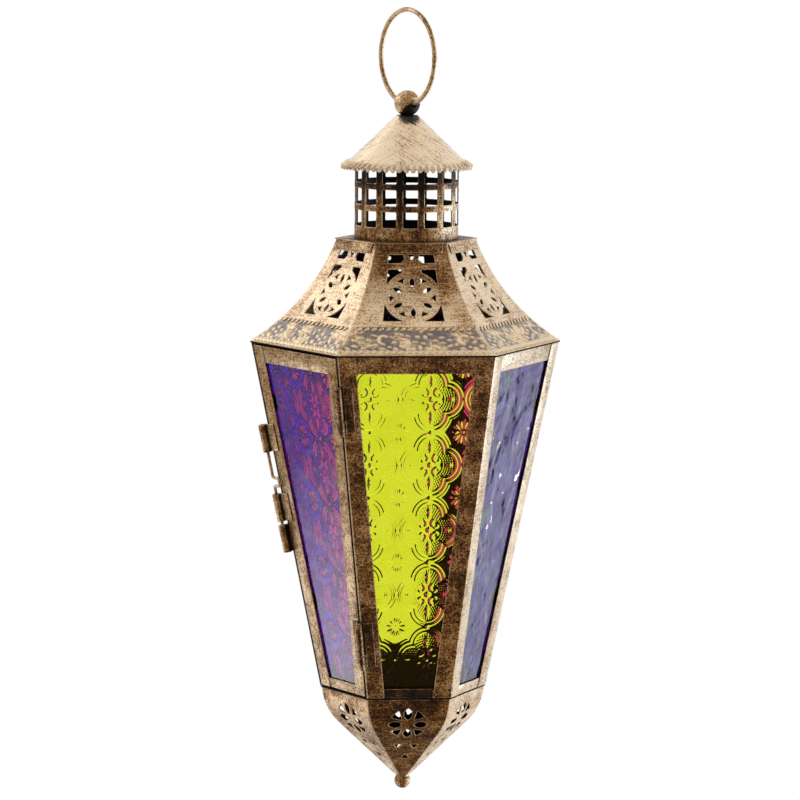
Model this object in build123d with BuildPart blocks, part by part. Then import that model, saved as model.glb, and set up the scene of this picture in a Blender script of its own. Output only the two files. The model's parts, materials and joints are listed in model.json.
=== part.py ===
from build123d import *
from math import acos, asin, atan, atan2, cos, degrees, hypot, radians, sin, tan
import os

# A six-sided hanging candle lantern of antiqued sheet metal with pressed glass panes.
# The origin is the inside top of the hanging ring, where a hook bears, and +Z is up.
# The front face looks along -Y and the door is the next face to its left.

# Sheets, play and cuts
sheet = 0.6  # pierced, rolled and spun sheet
frame_sheet = 0.8  # posts, rails, flat plates and the door's frame
running_play = 0.06  # radial play of a pin or wire in its bore
overrun = 5.0  # how far a cut runs past what it cuts
wire_sides = 8  # sides of the section of a bent wire

# Hanging ring and ball finial
ring_eye = 45.0  # inside diameter
ring_wire = 2.4
ring_heading = -60.0  # plan direction that the ring's plane lies along, degrees
ball_radius = 6.5
ball_seat = 5.9  # from the ball's centre down to the cap
stem_radius = 1.6
stem_length = 4.2
nut_across = 7.0
nut_height = 2.2

# Cap and chimney
cap_top_radius = 5.4
cap_root_radius = 28.4  # where the rim flares
cap_slope = 46.0  # degrees from the axis
rim_radius = 33.3
rim_slope = 57.0
chimney_radius = 26.2
window_count = 15
window_rows = 3
window_width = 7.5
window_height = 8.0
window_band = 3.0  # solid band between rows
chimney_foot = 6.8  # solid band under the lowest row

# Top plate and dome
plate_drop = 113.5  # from the eye down to the plate's upper face
dome_top_radius = 35.3  # across corners, halved, at the plate
dome_overhang = 0.5  # dome's foot past the top of the body
dome_height = 51.5
dome_bend = 104.0  # radius of the flare
flue_radius = 23.5
tab_length = 4.7
tab_corner = 2.2  # tab's end to the corner of its face
border_drops = (45.4, 61.2)  # raised beads, measured down the flare
bead_radius = 0.5

# Pierced rosette of each dome panel, measured from its own centre
rosette_drop = 28.4  # down the flare from the plate
rosette_outer = 14.4
rosette_inner = 11.6
rosette_count = 6
wedge_inner = 6.9
wedge_spread = 40.0  # degrees of the circle along the outer side of a wedge
lens_inner = 6.0
lens_outer = 11.1
lens_width = 2.4
lens_shoulder_share = 0.3  # tip to the widest part, over the petal's length
window_top = 15.5  # corner openings, from the rosette's centre
window_foot = 13.4
window_top_half = 11.8
window_foot_half = 15.2
neck_half = 5.0  # sheet left between the two upper corner openings
crest_top = 23.2
crest_foot = 18.7
crest_bulge = 20.6
crest_inner = 4.1
crest_bulge_inner = 3.5
crest_foot_inner = 5.5
crest_outer = 11.1
point_half = 1.8  # small pointed opening in the middle of the crest

# Body: posts, rails and panes
body_top_radius = 78.1
body_foot_radius = 42.3
body_height = 176.0
stile = 9.0
top_rail = 8.6
bottom_rail = 4.9
rail_recess = 0.3  # rails sit behind the face of the posts
ring_flange = 10.0  # width of the flat ring under the dome
pane = 2.0
pane_lap = 3.0  # pane behind its frame
bent_tab_length = 8.0
bent_tab_reach = 2.6
bent_tab_play = 0.3
bent_tab_shares = (0.22, 0.8)  # places along the post

# Door
door_side_gap = 1.5
door_top_gap = 1.0
door_foot_gap = 0.8
door_stile = 8.0
stop_play = 0.4  # closed door to the lip that stops it
stop_lip = 4.4

# Hinges
hinge_height = 24.0
hinge_top_drop = 15.5  # upper hinge, from the top of the corner
hinge_foot_rise = 16.4  # lower hinge, from the foot of the corner
hinge_split_share = 0.3  # lower share of the barrel, on the frame leaf
hinge_gap = 0.3  # between the two barrels
hinge_pin_radius = 0.8
hinge_barrel = 1.7
hinge_head = 0.6
leaf_width = 6.2
leaf_strap_lift = 0.3
barrel_lift = 0.12  # barrel to the faces beside it

# Latch
guide_length = 14.2
guide_top_drop = 42.2  # upper guide, from the top of the corner
guide_foot_drop = 78.4  # lower guide
keeper_gap = 1.9
guide_barrel = 2.2
guide_bore = 1.1
latch_wire = 1.6
latch_bend = 1.3
latch_rest = 3.4  # wire of the handle to the lower guide at rest
handle_height = 4.2
handle_reach = 5.2
tip_gap = 0.5  # pin's tip above the keeper at rest
pin_top_set = 1.0  # pin's top below the upper guide's top at rest

# Floor, candle cup, base and tip
floor_inset = 0.3  # floor plate behind the foot of the body
cup_bore = 20.0  # takes a 38 mm tealight
cup_depth = 17.4
base_inset = 0.9  # base behind the foot of the body
base_bend = 30.0
base_lean = 3.0  # degrees from upright at the top
base_mouth = 3.73  # panel ends to the axis, where the tip passes through
base_height = 45.1
tip_ball = 4.05
tip_collar = 3.3
tip_neck = 2.4
tip_head = 6.0
tip_head_height = 1.2
tip_drop = 3.6  # panel ends down to the ball's centre

# Pierced flower of each base panel, measured from its own centre
flower_drop = 14.6  # down the panel from the floor plate
flower_count = 4
flower_lens_inner = 3.1
flower_lens_outer = 9.8
flower_lens_width = 4.2
flower_wedge_inner = 4.2
flower_wedge_outer = 9.5
flower_wedge_half = 2.8
spark = 4.2  # side of the small triangles under the flower
spark_rows = (17.4, 25.7)
spark_spread = 4.2

# Levels and directions worked out from the sizes above
corners = {"right": 0, "back_right": 60, "back_left": 120, "left": 180, "front_left": 240, "front_right": 300}
faces = {"front": 270, "right": 330, "back_right": 30, "back": 90, "back_left": 150, "door": 210}
fixed_faces = [name for name in faces if name != "door"]
half_turn = 180 / len(faces)
wall = cos(radians(half_turn))  # a face's distance from the axis over a corner's

dome_foot_radius = body_top_radius + dome_overhang
floor_radius = body_foot_radius - floor_inset
base_radius = body_foot_radius - base_inset

ring_centreline = (ring_eye + ring_wire) / 2
bore_rise = (ring_centreline - (ring_centreline**2 - ball_radius**2) ** 0.5) / 2
bore_radius = bore_rise + ring_wire / 2 + running_play
ball_level = -ring_eye - ring_wire / 2 + bore_rise
cap_level = ball_level - ball_seat
plate_level = -plate_drop
dome_top = plate_level - sheet
dome_foot = dome_top - dome_height
body_top = dome_foot - frame_sheet
body_foot = body_top - body_height
base_top = body_foot - frame_sheet
base_end = base_top - base_height
tip_level = base_end - tip_drop


def outward(heading):
    return Vector(cos(radians(heading)), sin(radians(heading)), 0)


def rightward(heading):
    return Vector(-sin(radians(heading)), cos(radians(heading)), 0)


def upright_plane(heading):
    """Plane through the axis, with x outwards along the heading and y up."""
    return Plane(origin=(0, 0, 0), x_dir=outward(heading), z_dir=-rightward(heading))


def sixth(heading, level, reach):
    """Plan sketch of one sixth of the lantern, mitred at its two corners."""
    plan = Plane(origin=(0, 0, level), x_dir=outward(heading), z_dir=(0, 0, 1))
    with BuildSketch(plan) as wedge:
        Polygon((0, 0), (reach, -reach * tan(radians(half_turn))), (reach, reach * tan(radians(half_turn))))
    return wedge.sketch


def lens(inner, outer, width):
    """Pointed petal along x, from its inner to its outer tip."""
    shoulder = (outer - inner) * lens_shoulder_share
    with BuildSketch() as petal_outline:
        Polygon(
            (inner, 0),
            (inner + shoulder, -width / 2),
            (outer - shoulder, -width / 2),
            (outer, 0),
            (outer - shoulder, width / 2),
            (inner + shoulder, width / 2),
        )
    return petal_outline.sketch


def finish(part, label):
    part.label = label
    export_step(part, f"parts/{label}.step")


os.makedirs("parts", exist_ok=True)

# Hanging ring
ring_plane = Plane(
    origin=(0, 0, -ring_eye / 2), x_dir=outward(ring_heading), z_dir=rightward(ring_heading)
)
with BuildPart() as hanging_ring:
    with BuildSketch(Plane(origin=ring_plane.origin, x_dir=ring_plane.x_dir, z_dir=(0, 0, 1))):
        with Locations((ring_centreline, 0)):
            RegularPolygon(ring_wire / 2, wire_sides)
    revolve(axis=Axis(ring_plane.origin, ring_plane.z_dir))
finish(hanging_ring.part, "hanging_ring")

# Ball finial, with a flat seat, a stem into the cap and a cross bore for the ring
seat_radius = (ball_radius**2 - ball_seat**2) ** 0.5
stem_end = cap_level - stem_length
with BuildPart() as finial_ball:
    with BuildSketch(Plane.XZ):
        with BuildLine():
            ThreePointArc(
                (seat_radius, cap_level), (ball_radius, ball_level), (0, ball_level + ball_radius)
            )
            Polyline(
                (0, ball_level + ball_radius),
                (0, stem_end),
                (stem_radius, stem_end),
                (stem_radius, cap_level),
                (seat_radius, cap_level),
            )
        make_face()
    revolve(axis=Axis.Z)
    with BuildSketch(Plane(origin=(0, 0, ball_level), z_dir=outward(ring_heading))):
        Circle(bore_radius)
    extrude(amount=ball_radius + overrun, both=True, mode=Mode.SUBTRACT)
finish(finial_ball.part, "finial_ball")

# Nut under the cap
with BuildPart() as finial_nut:
    with BuildSketch(Plane.XY.offset(cap_level - sheet)):
        RegularPolygon(nut_across / 2, len(faces), major_radius=False)
        Circle(stem_radius + running_play, mode=Mode.SUBTRACT)
    extrude(amount=-nut_height)
finish(finial_nut.part, "finial_nut")

# Conical cap with a flared rim
cap_root_level = cap_level - (cap_root_radius - cap_top_radius) / tan(radians(cap_slope))
rim_level = cap_root_level - (rim_radius - cap_root_radius) / tan(radians(rim_slope))
with BuildPart() as roof_cap:
    with BuildSketch(Plane.XZ):
        with BuildLine():
            Polyline(
                (stem_radius + running_play, cap_level),
                (cap_top_radius, cap_level),
                (cap_root_radius, cap_root_level),
                (rim_radius, rim_level),
            )
            offset(amount=sheet, side=Side.RIGHT, kind=Kind.INTERSECTION)
        make_face()
    revolve(axis=Axis.Z)
finish(roof_cap.part, "roof_cap")

# Chimney: a rolled sheet with rows of windows, its top edge cut to the slope under the cap
cap_under = cap_level - sheet / sin(radians(cap_slope))


def cap_inside(radius):
    return cap_under - (radius - cap_top_radius) / tan(radians(cap_slope))


chimney_inner = chimney_radius - sheet
with BuildPart() as chimney:
    with BuildSketch(Plane.XZ):
        Polygon(
            (chimney_radius, plate_level),
            (chimney_radius, cap_inside(chimney_radius)),
            (chimney_inner, cap_inside(chimney_inner)),
            (chimney_inner, plate_level),
        )
    revolve(axis=Axis.Z)
    for row in range(window_rows):
        sill = plate_level + chimney_foot + row * (window_height + window_band)
        with Locations((0, 0, sill + window_height / 2)):
            with PolarLocations(chimney_radius, window_count):
                Box(overrun, window_width, window_height, mode=Mode.SUBTRACT)
finish(chimney.part, "chimney")

# Flare of the dome in its upright section, seen square on to a face
flare_run = (dome_foot_radius - dome_top_radius) * wall
flare_chord = hypot(flare_run, dome_height)
flare_half = degrees(asin(flare_chord / 2 / dome_bend))
flare_lean = degrees(atan(flare_run / dome_height))
flare_start = flare_lean - flare_half
flare_sweep = 2 * flare_half
flare_centre = Vector(dome_top_radius * wall, dome_top) + dome_bend * Vector(
    cos(radians(flare_start)), sin(radians(flare_start))
)
flare_spare = degrees(overrun / dome_bend)


def flare_angle(drop):
    """Lean from upright at a distance down the flare."""
    return flare_start + degrees(drop / dome_bend)


def flare_point(drop):
    """Radius and level of the dome's outer surface at a distance down the flare."""
    lean = radians(flare_angle(drop))
    return flare_centre.X - dome_bend * cos(lean), flare_centre.Y - dome_bend * sin(lean)


def flare_section(heading, start, sweep, inside, outside):
    """Upright section of sheet that follows the flare, between two distances from it."""
    with BuildSketch(upright_plane(heading)) as section:
        with BuildLine():
            near = CenterArc(flare_centre, dome_bend - outside, 180 + start, sweep)
            far = CenterArc(flare_centre, dome_bend + inside, 180 + start, sweep)
            Line(near @ 0, far @ 0)
            Line(near @ 1, far @ 1)
        make_face()
    return section.sketch


# Top plate with a bent-down tab over the head of each dome panel
plate_wall = dome_top_radius * wall + sheet / cos(radians(flare_start))
tab_sweep = degrees(tab_length / dome_bend)
with BuildPart() as top_plate:
    with BuildSketch(Plane.XY.offset(dome_top)):
        RegularPolygon(plate_wall, len(faces), major_radius=False)
        Circle(flue_radius, mode=Mode.SUBTRACT)
    extrude(amount=sheet)
    for heading in faces.values():
        tab = flare_section(heading, flare_start, tab_sweep, 0, sheet)
        extrude(tab, amount=plate_wall * tan(radians(half_turn)) - tab_corner, both=True)
finish(top_plate.part, "top_plate")

# Dome panels: bent sheet with two raised beads, mitred to a sixth, and a pierced rosette
petal = lens(lens_inner, lens_outer, lens_width)
first_petal = 360 / rosette_count / 2
wedge_half = radians(wedge_spread / 2)


def dome_panel(heading):
    blank = flare_section(heading, flare_start - flare_spare, flare_sweep + 2 * flare_spare, sheet, 0)
    mitre = sixth(heading, dome_foot, dome_foot_radius)
    lean = radians(flare_angle(rosette_drop))
    radius, level = flare_point(rosette_drop)
    pattern = Plane(
        origin=outward(heading) * radius + Vector(0, 0, level),
        x_dir=rightward(heading),
        z_dir=outward(heading) * cos(lean) + Vector(0, 0, sin(lean)),
    )
    with BuildPart() as panel:
        extrude(blank, amount=dome_foot_radius, both=True)
        with BuildSketch(upright_plane(heading)):
            for drop in border_drops:
                with Locations(flare_point(drop)):
                    Circle(bead_radius)
        extrude(amount=dome_foot_radius, both=True)
        extrude(mitre, amount=dome_height, mode=Mode.INTERSECT)
        with BuildSketch(pattern):
            with PolarLocations(0, rosette_count):
                Polygon(
                    (wedge_inner, 0),
                    (rosette_inner * cos(wedge_half), -rosette_inner * sin(wedge_half)),
                    (rosette_inner, 0),
                    (rosette_inner * cos(wedge_half), rosette_inner * sin(wedge_half)),
                )
            with PolarLocations(0, rosette_count, start_angle=first_petal):
                add(petal)
        extrude(amount=overrun, both=True, mode=Mode.SUBTRACT)
        with BuildSketch(pattern):
            Polygon(
                (-window_foot_half, -window_foot),
                (window_foot_half, -window_foot),
                (window_top_half, window_top),
                (-window_top_half, window_top),
            )
            Circle(rosette_outer, mode=Mode.SUBTRACT)
            Rectangle(2 * neck_half, window_top, align=(Align.CENTER, Align.MIN), mode=Mode.SUBTRACT)
        extrude(amount=overrun, both=True, mode=Mode.SUBTRACT)
        with BuildSketch(pattern):
            for side in (-1, 1):
                Polygon(
                    (side * crest_inner, crest_top),
                    (side * crest_outer, crest_top),
                    (side * window_top_half, crest_foot),
                    (side * crest_foot_inner, crest_foot),
                    (side * crest_bulge_inner, crest_bulge),
                )
            Polygon((-point_half, crest_top), (point_half, crest_top), (0, crest_bulge))
        extrude(amount=overrun, both=True, mode=Mode.SUBTRACT)
    return panel


for name, heading in faces.items():
    panel = dome_panel(heading)
    finish(panel.part, f"dome_panel_{name}")

# Flat ring between the dome and the posts
with BuildPart() as top_ring:
    with BuildSketch(Plane.XY.offset(body_top)):
        RegularPolygon(dome_foot_radius, len(faces))
        RegularPolygon(dome_foot_radius - ring_flange / wall, len(faces), mode=Mode.SUBTRACT)
    extrude(amount=frame_sheet)
finish(top_ring.part, "top_ring")

# Tapering body: slopes of its faces and corner lines
taper_run = body_top_radius - body_foot_radius
face_tilt = atan(taper_run * wall / body_height)
face_length = hypot(taper_run * wall, body_height)
edge_length = hypot(taper_run, body_height)
edge_lean = atan(taper_run / 2 / face_length)  # corner line from the middle line of a face
fold = acos(cos(radians(2 * half_turn)) * cos(face_tilt) ** 2 + sin(face_tilt) ** 2) / 2


def edge_direction(heading):
    return (outward(heading) * taper_run + Vector(0, 0, body_height)).normalized()


def edge_plane(heading, rise):
    """Plane square to a corner line at a distance up it, with x straight out of the corner."""
    along = edge_direction(heading)
    out = outward(heading) - along * outward(heading).dot(along)
    foot = outward(heading) * body_foot_radius + Vector(0, 0, body_foot)
    return Plane(origin=foot + along * rise, x_dir=out, z_dir=along)


def beside(side, across, out):
    """Point in a corner's square section: a distance across one face and out of it."""
    return out * cos(fold) - across * sin(fold), side * (across * cos(fold) + out * sin(fold))


def face_plane(heading, depth):
    """Plane of a face, a level distance behind it, with x to the right and y up the slope."""
    return Plane(
        origin=outward(heading) * (body_foot_radius * wall - depth) + Vector(0, 0, body_foot),
        x_dir=rightward(heading),
        z_dir=outward(heading) * cos(face_tilt) - Vector(0, 0, sin(face_tilt)),
    )


def half_width(rise):
    return (body_foot_radius + taper_run * rise / face_length) / 2


def face_sheet(heading, depth, thickness, low, high, left, right):
    """Flat piece in a face between two heights; left and right give its edges at a height."""
    with BuildPart() as piece:
        with BuildSketch(face_plane(heading, depth)):
            Polygon((left(low), low), (right(low), low), (right(high), high), (left(high), high))
        extrude(amount=thickness, dir=-outward(heading))
    return piece


# Corner posts: folded angles, or beside the door one leaf and a set-back lip that stops it
def level_point(side, across, depth):
    """Point in a corner's level section: a distance along one face and behind it."""
    return (
        body_foot_radius - across * sin(radians(half_turn)) - depth * wall,
        side * (across * wall - depth * sin(radians(half_turn))),
    )


def post(heading, section):
    plan = Plane(origin=(0, 0, body_foot), x_dir=outward(heading), z_dir=(0, 0, 1))
    with BuildPart() as angle:
        with BuildSketch(plan):
            Polygon(*section)
        extrude(amount=edge_length, dir=edge_direction(heading))
    return angle


inner_fold = frame_sheet * tan(radians(half_turn))
angle_section = [
    level_point(1, 0, 0),
    level_point(1, stile, 0),
    level_point(1, stile, frame_sheet),
    level_point(1, inner_fold, frame_sheet),
    level_point(-1, stile, frame_sheet),
    level_point(-1, stile, 0),
]
lip_depth = frame_sheet + stop_play
lip_back = lip_depth + frame_sheet
lip_fold = (frame_sheet - lip_back * sin(radians(half_turn))) / wall


def lip_section(door_side):
    return [
        level_point(door_side, 0, 0),
        level_point(door_side, 0, lip_depth),
        level_point(door_side, stop_lip, lip_depth),
        level_point(door_side, stop_lip, lip_back),
        level_point(door_side, lip_fold, lip_back),
        level_point(-door_side, stile, frame_sheet),
        level_point(-door_side, stile, 0),
    ]


post_sections = dict.fromkeys(corners, angle_section)
post_sections["left"] = lip_section(1)
post_sections["front_left"] = lip_section(-1)
for name, heading in corners.items():
    angle = post(heading, post_sections[name])
    finish(angle.part, f"post_{name}")

# Rails and panes of the five fixed faces
pane_depth = rail_recess + frame_sheet
pane_inset = stile - pane_lap
for name in fixed_faces:
    heading = faces[name]
    upper = face_sheet(
        heading, rail_recess, frame_sheet, face_length - top_rail, face_length,
        lambda rise: stile - half_width(rise), lambda rise: half_width(rise) - stile,
    )
    finish(upper.part, f"top_rail_{name}")
    lower = face_sheet(
        heading, rail_recess, frame_sheet, 0, bottom_rail,
        lambda rise: stile - half_width(rise), lambda rise: half_width(rise) - stile,
    )
    finish(lower.part, f"bottom_rail_{name}")
    glass = face_sheet(
        heading, pane_depth, pane, bottom_rail - pane_lap, face_length - top_rail + pane_lap,
        lambda rise: pane_inset - half_width(rise), lambda rise: half_width(rise) - pane_inset,
    )
    finish(glass.part, f"glass_{name}")


# Bent tabs behind the panes, at two places on each post leaf
def tab_profile(side, inset):
    """Square section of a tab that comes off the frame and folds over the back of a pane."""
    edge = inset * cos(edge_lean)
    root = -frame_sheet * cos(face_tilt)
    back = -(pane_depth + pane) * cos(face_tilt)
    heel = edge - bent_tab_play - sheet
    shin = edge - bent_tab_play
    toe = edge + bent_tab_reach
    return [
        beside(side, heel, root),
        beside(side, shin, root),
        beside(side, shin, back),
        beside(side, toe, back),
        beside(side, toe, back - sheet),
        beside(side, heel, back - sheet),
    ]


with BuildPart() as glass_tabs:
    for name in fixed_faces:
        for side in (-1, 1):
            corner = faces[name] - side * half_turn
            for share in bent_tab_shares:
                with BuildSketch(edge_plane(corner, edge_length * share)):
                    Polygon(*tab_profile(side, pane_inset))
                extrude(amount=bent_tab_length)
finish(glass_tabs.part, "glass_tabs")

# Door frame and its pane: its right side is the hinge side
door = faces["door"]
door_low = door_foot_gap
door_high = face_length - door_top_gap
door_inner = door_side_gap + door_stile
hinge_stile = face_sheet(
    door, 0, frame_sheet, door_low, door_high,
    lambda rise: half_width(rise) - door_inner, lambda rise: half_width(rise) - door_side_gap,
)
finish(hinge_stile.part, "door_stile_hinge")
latch_stile = face_sheet(
    door, 0, frame_sheet, door_low, door_high,
    lambda rise: door_side_gap - half_width(rise), lambda rise: door_inner - half_width(rise),
)
finish(latch_stile.part, "door_stile_latch")
door_head = face_sheet(
    door, rail_recess, frame_sheet, door_high - top_rail, door_high,
    lambda rise: door_inner - half_width(rise), lambda rise: half_width(rise) - door_inner,
)
finish(door_head.part, "door_rail_top")
door_sill = face_sheet(
    door, rail_recess, frame_sheet, door_low, door_low + bottom_rail,
    lambda rise: door_inner - half_width(rise), lambda rise: half_width(rise) - door_inner,
)
finish(door_sill.part, "door_rail_bottom")
door_pane_inset = door_inner - pane_lap
door_glass = face_sheet(
    door, pane_depth, pane, door_low + bottom_rail - pane_lap, door_high - top_rail + pane_lap,
    lambda rise: door_pane_inset - half_width(rise), lambda rise: half_width(rise) - door_pane_inset,
)
finish(door_glass.part, "door_glass")
with BuildPart() as door_glass_tabs:
    for side in (-1, 1):
        for share in bent_tab_shares:
            with BuildSketch(edge_plane(door - side * half_turn, edge_length * share)):
                Polygon(*tab_profile(side, door_pane_inset))
            extrude(amount=bent_tab_length)
finish(door_glass_tabs.part, "door_glass_tabs")


# Rolled leaves: a flat leaf on one face whose edge is rolled into a barrel along the corner
def barrel_offset(barrel):
    """Barrel's axis outside the corner line, clear of both faces."""
    return (barrel + barrel_lift) / cos(fold)


def rolled_leaf(heading, side, leaf_span, barrel_span, barrel, bore):
    root = door_side_gap * cos(edge_lean)
    axis = barrel_offset(barrel)
    strap_start = -axis * sin(fold)
    strap_end = root + leaf_strap_lift
    strap_top = leaf_strap_lift + sheet
    with BuildPart() as leaf:
        with BuildSketch(edge_plane(heading, leaf_span[0])):
            Polygon(
                beside(side, root, 0),
                beside(side, leaf_width, 0),
                beside(side, leaf_width, sheet),
                beside(side, root, sheet),
            )
        extrude(amount=leaf_span[1] - leaf_span[0])
        with BuildSketch(edge_plane(heading, barrel_span[0])):
            Polygon(
                beside(side, strap_start, leaf_strap_lift),
                beside(side, strap_end, leaf_strap_lift),
                beside(side, strap_end, strap_top),
                beside(side, strap_start, strap_top),
            )
            with Locations((axis, 0)):
                Circle(barrel)
                Circle(bore, mode=Mode.SUBTRACT)
        extrude(amount=barrel_span[1] - barrel_span[0])
    return leaf


# Two butt hinges on the front left corner, the door's barrel above the frame's
hinge_corner = corners["front_left"]
hinge_bore = hinge_pin_radius + running_play
upper_hinge_foot = edge_length - hinge_top_drop - hinge_height
for name, foot in {"upper": upper_hinge_foot, "lower": hinge_foot_rise}.items():
    top = foot + hinge_height
    split = foot + hinge_height * hinge_split_share
    door_barrel = (split + hinge_gap / 2, top)
    frame_barrel = (foot, split - hinge_gap / 2)
    door_leaf = rolled_leaf(hinge_corner, -1, (foot, top), door_barrel, hinge_barrel, hinge_bore)
    finish(door_leaf.part, f"door_hinge_leaf_{name}")
    frame_leaf = rolled_leaf(hinge_corner, 1, (foot, top), frame_barrel, hinge_barrel, hinge_bore)
    finish(frame_leaf.part, f"frame_hinge_leaf_{name}")
    with BuildPart() as hinge_pin:
        for start, radius, length in (
            (foot - hinge_head, hinge_pin_radius, hinge_height + 2 * hinge_head),
            (foot - hinge_head, hinge_barrel - sheet, hinge_head - running_play),
            (top + running_play, hinge_barrel - sheet, hinge_head - running_play),
        ):
            with BuildSketch(edge_plane(hinge_corner, start)):
                with Locations((barrel_offset(hinge_barrel), 0)):
                    Circle(radius)
            extrude(amount=length)
    finish(hinge_pin.part, f"hinge_pin_{name}")

# Latch on the left corner: two guides on the door, a keeper on the frame and a bent wire pin
latch_corner = corners["left"]
upper_guide = edge_length - guide_top_drop
lower_guide = edge_length - guide_foot_drop
keeper_top = lower_guide - guide_length - keeper_gap
guide_spans = {
    "latch_guide_upper": (1, upper_guide),
    "latch_guide_lower": (1, lower_guide),
    "latch_keeper": (-1, keeper_top),
}
for name, (side, top) in guide_spans.items():
    span = (top - guide_length, top)
    guide = rolled_leaf(latch_corner, side, span, span, guide_barrel, guide_bore)
    finish(guide.part, name)

latch_foot = edge_plane(latch_corner, 0)
latch_axis = latch_foot.from_local_coords((barrel_offset(guide_barrel), 0, 0))
into_door = latch_foot.x_dir * -sin(fold) + latch_foot.y_dir * cos(fold)
pin_plane = Plane(origin=latch_axis, x_dir=into_door, z_dir=into_door.cross(latch_foot.z_dir))
pin_tip = keeper_top + tip_gap
handle_foot = lower_guide + latch_rest + latch_wire / 2
handle_top = handle_foot + handle_height
with BuildPart() as latch_pin:
    with BuildLine(pin_plane) as wire_line:
        FilletPolyline(
            (0, pin_tip),
            (0, handle_foot),
            (handle_reach, handle_foot),
            (handle_reach, handle_top),
            (0, handle_top),
            (0, upper_guide - pin_top_set),
            radius=latch_bend,
        )
    with BuildSketch(Plane(origin=wire_line.line @ 0, z_dir=wire_line.line % 0)):
        RegularPolygon(latch_wire / 2, wire_sides)
    sweep(path=wire_line.line)
finish(latch_pin.part, "latch_pin")

# Floor plate and candle cup
with BuildPart() as floor_plate:
    with BuildSketch(Plane.XY.offset(base_top)):
        RegularPolygon(floor_radius, len(faces))
    extrude(amount=frame_sheet)
finish(floor_plate.part, "floor_plate")

with BuildPart() as candle_cup:
    with BuildSketch(Plane.XY.offset(body_foot)):
        Circle(cup_bore + sheet)
    extrude(amount=cup_depth + sheet)
    with BuildSketch(Plane.XY.offset(body_foot + sheet)):
        Circle(cup_bore)
    extrude(amount=cup_depth, mode=Mode.SUBTRACT)
finish(candle_cup.part, "candle_cup")

# Base panels: bent sheet that narrows to the tip, mitred to a sixth, and a pierced flower
base_centre = Vector(base_radius * wall, base_top) + base_bend * Vector(
    -cos(radians(base_lean)), sin(radians(base_lean))
)
base_reach = Vector(base_mouth, base_end) - base_centre
base_slope = degrees(atan2(-base_reach.Y, base_reach.X) - acos(base_bend / base_reach.length))
base_spare = degrees(overrun / base_bend)
flower_petal = lens(flower_lens_inner, flower_lens_outer, flower_lens_width)


def base_section(heading):
    """Upright section of the panel's sheet: a bend and a straight run past the tip."""
    fall = Vector(-sin(radians(base_slope)), -cos(radians(base_slope))) * base_height
    sweep_angle = base_slope - base_lean + base_spare
    with BuildSketch(upright_plane(heading)) as section:
        with BuildLine():
            skin = CenterArc(base_centre, base_bend, base_spare - base_lean, -sweep_angle)
            back = CenterArc(base_centre, base_bend - sheet, base_spare - base_lean, -sweep_angle)
            Line(skin @ 0, back @ 0)
            Polyline(skin @ 1, skin @ 1 + fall, back @ 1 + fall, back @ 1)
        make_face()
    return section.sketch


def base_panel(heading):
    blank = base_section(heading)
    mitre = sixth(heading, base_end, base_radius)
    lean = radians(base_lean + degrees(flower_drop / base_bend))
    radius = base_centre.X + base_bend * cos(lean)
    level = base_centre.Y - base_bend * sin(lean)
    pattern = Plane(
        origin=outward(heading) * radius + Vector(0, 0, level),
        x_dir=rightward(heading),
        z_dir=outward(heading) * cos(lean) - Vector(0, 0, sin(lean)),
    )
    with BuildPart() as panel:
        extrude(blank, amount=base_radius, both=True)
        extrude(mitre, amount=base_height, mode=Mode.INTERSECT)
        with BuildSketch(pattern):
            with PolarLocations(0, flower_count):
                add(flower_petal)
            with PolarLocations(0, flower_count, start_angle=180 / flower_count):
                Polygon(
                    (flower_wedge_inner, 0),
                    (flower_wedge_outer, flower_wedge_half),
                    (flower_wedge_outer, -flower_wedge_half),
                )
            with Locations((-spark_spread, -spark_rows[0]), (spark_spread, -spark_rows[0])):
                RegularPolygon(spark / 3**0.5, 3, rotation=-90)
            with Locations((0, -spark_rows[1])):
                RegularPolygon(spark / 3**0.5, 3, rotation=90)
        extrude(amount=overrun, both=True, mode=Mode.SUBTRACT)
    return panel


for name, heading in faces.items():
    panel = base_panel(heading)
    finish(panel.part, f"base_panel_{name}")

# Ball tip: its neck passes between the panel ends and a head inside holds it
end_inside = base_mouth - sheet / cos(radians(base_slope))
head_level = base_end + (tip_head - end_inside) / tan(radians(base_slope))
collar_foot = tip_level + (tip_ball**2 - tip_collar**2) ** 0.5
with BuildPart() as base_finial:
    with BuildSketch(Plane.XZ):
        with BuildLine():
            ThreePointArc((0, tip_level - tip_ball), (tip_ball, tip_level), (tip_collar, collar_foot))
            Polyline(
                (tip_collar, collar_foot),
                (tip_collar, base_end),
                (tip_neck, base_end),
                (tip_neck, head_level),
                (tip_head, head_level),
                (tip_head, head_level + tip_head_height),
                (0, head_level + tip_head_height),
                (0, tip_level - tip_ball),
            )
        make_face()
    revolve(axis=Axis.Z)
finish(base_finial.part, "base_finial")
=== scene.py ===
import json
from math import asin, atan2, ceil, cos, hypot, pi, radians, sin, tan

import bmesh
import bpy
import numpy as np
from mathutils import Matrix, Vector


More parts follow.
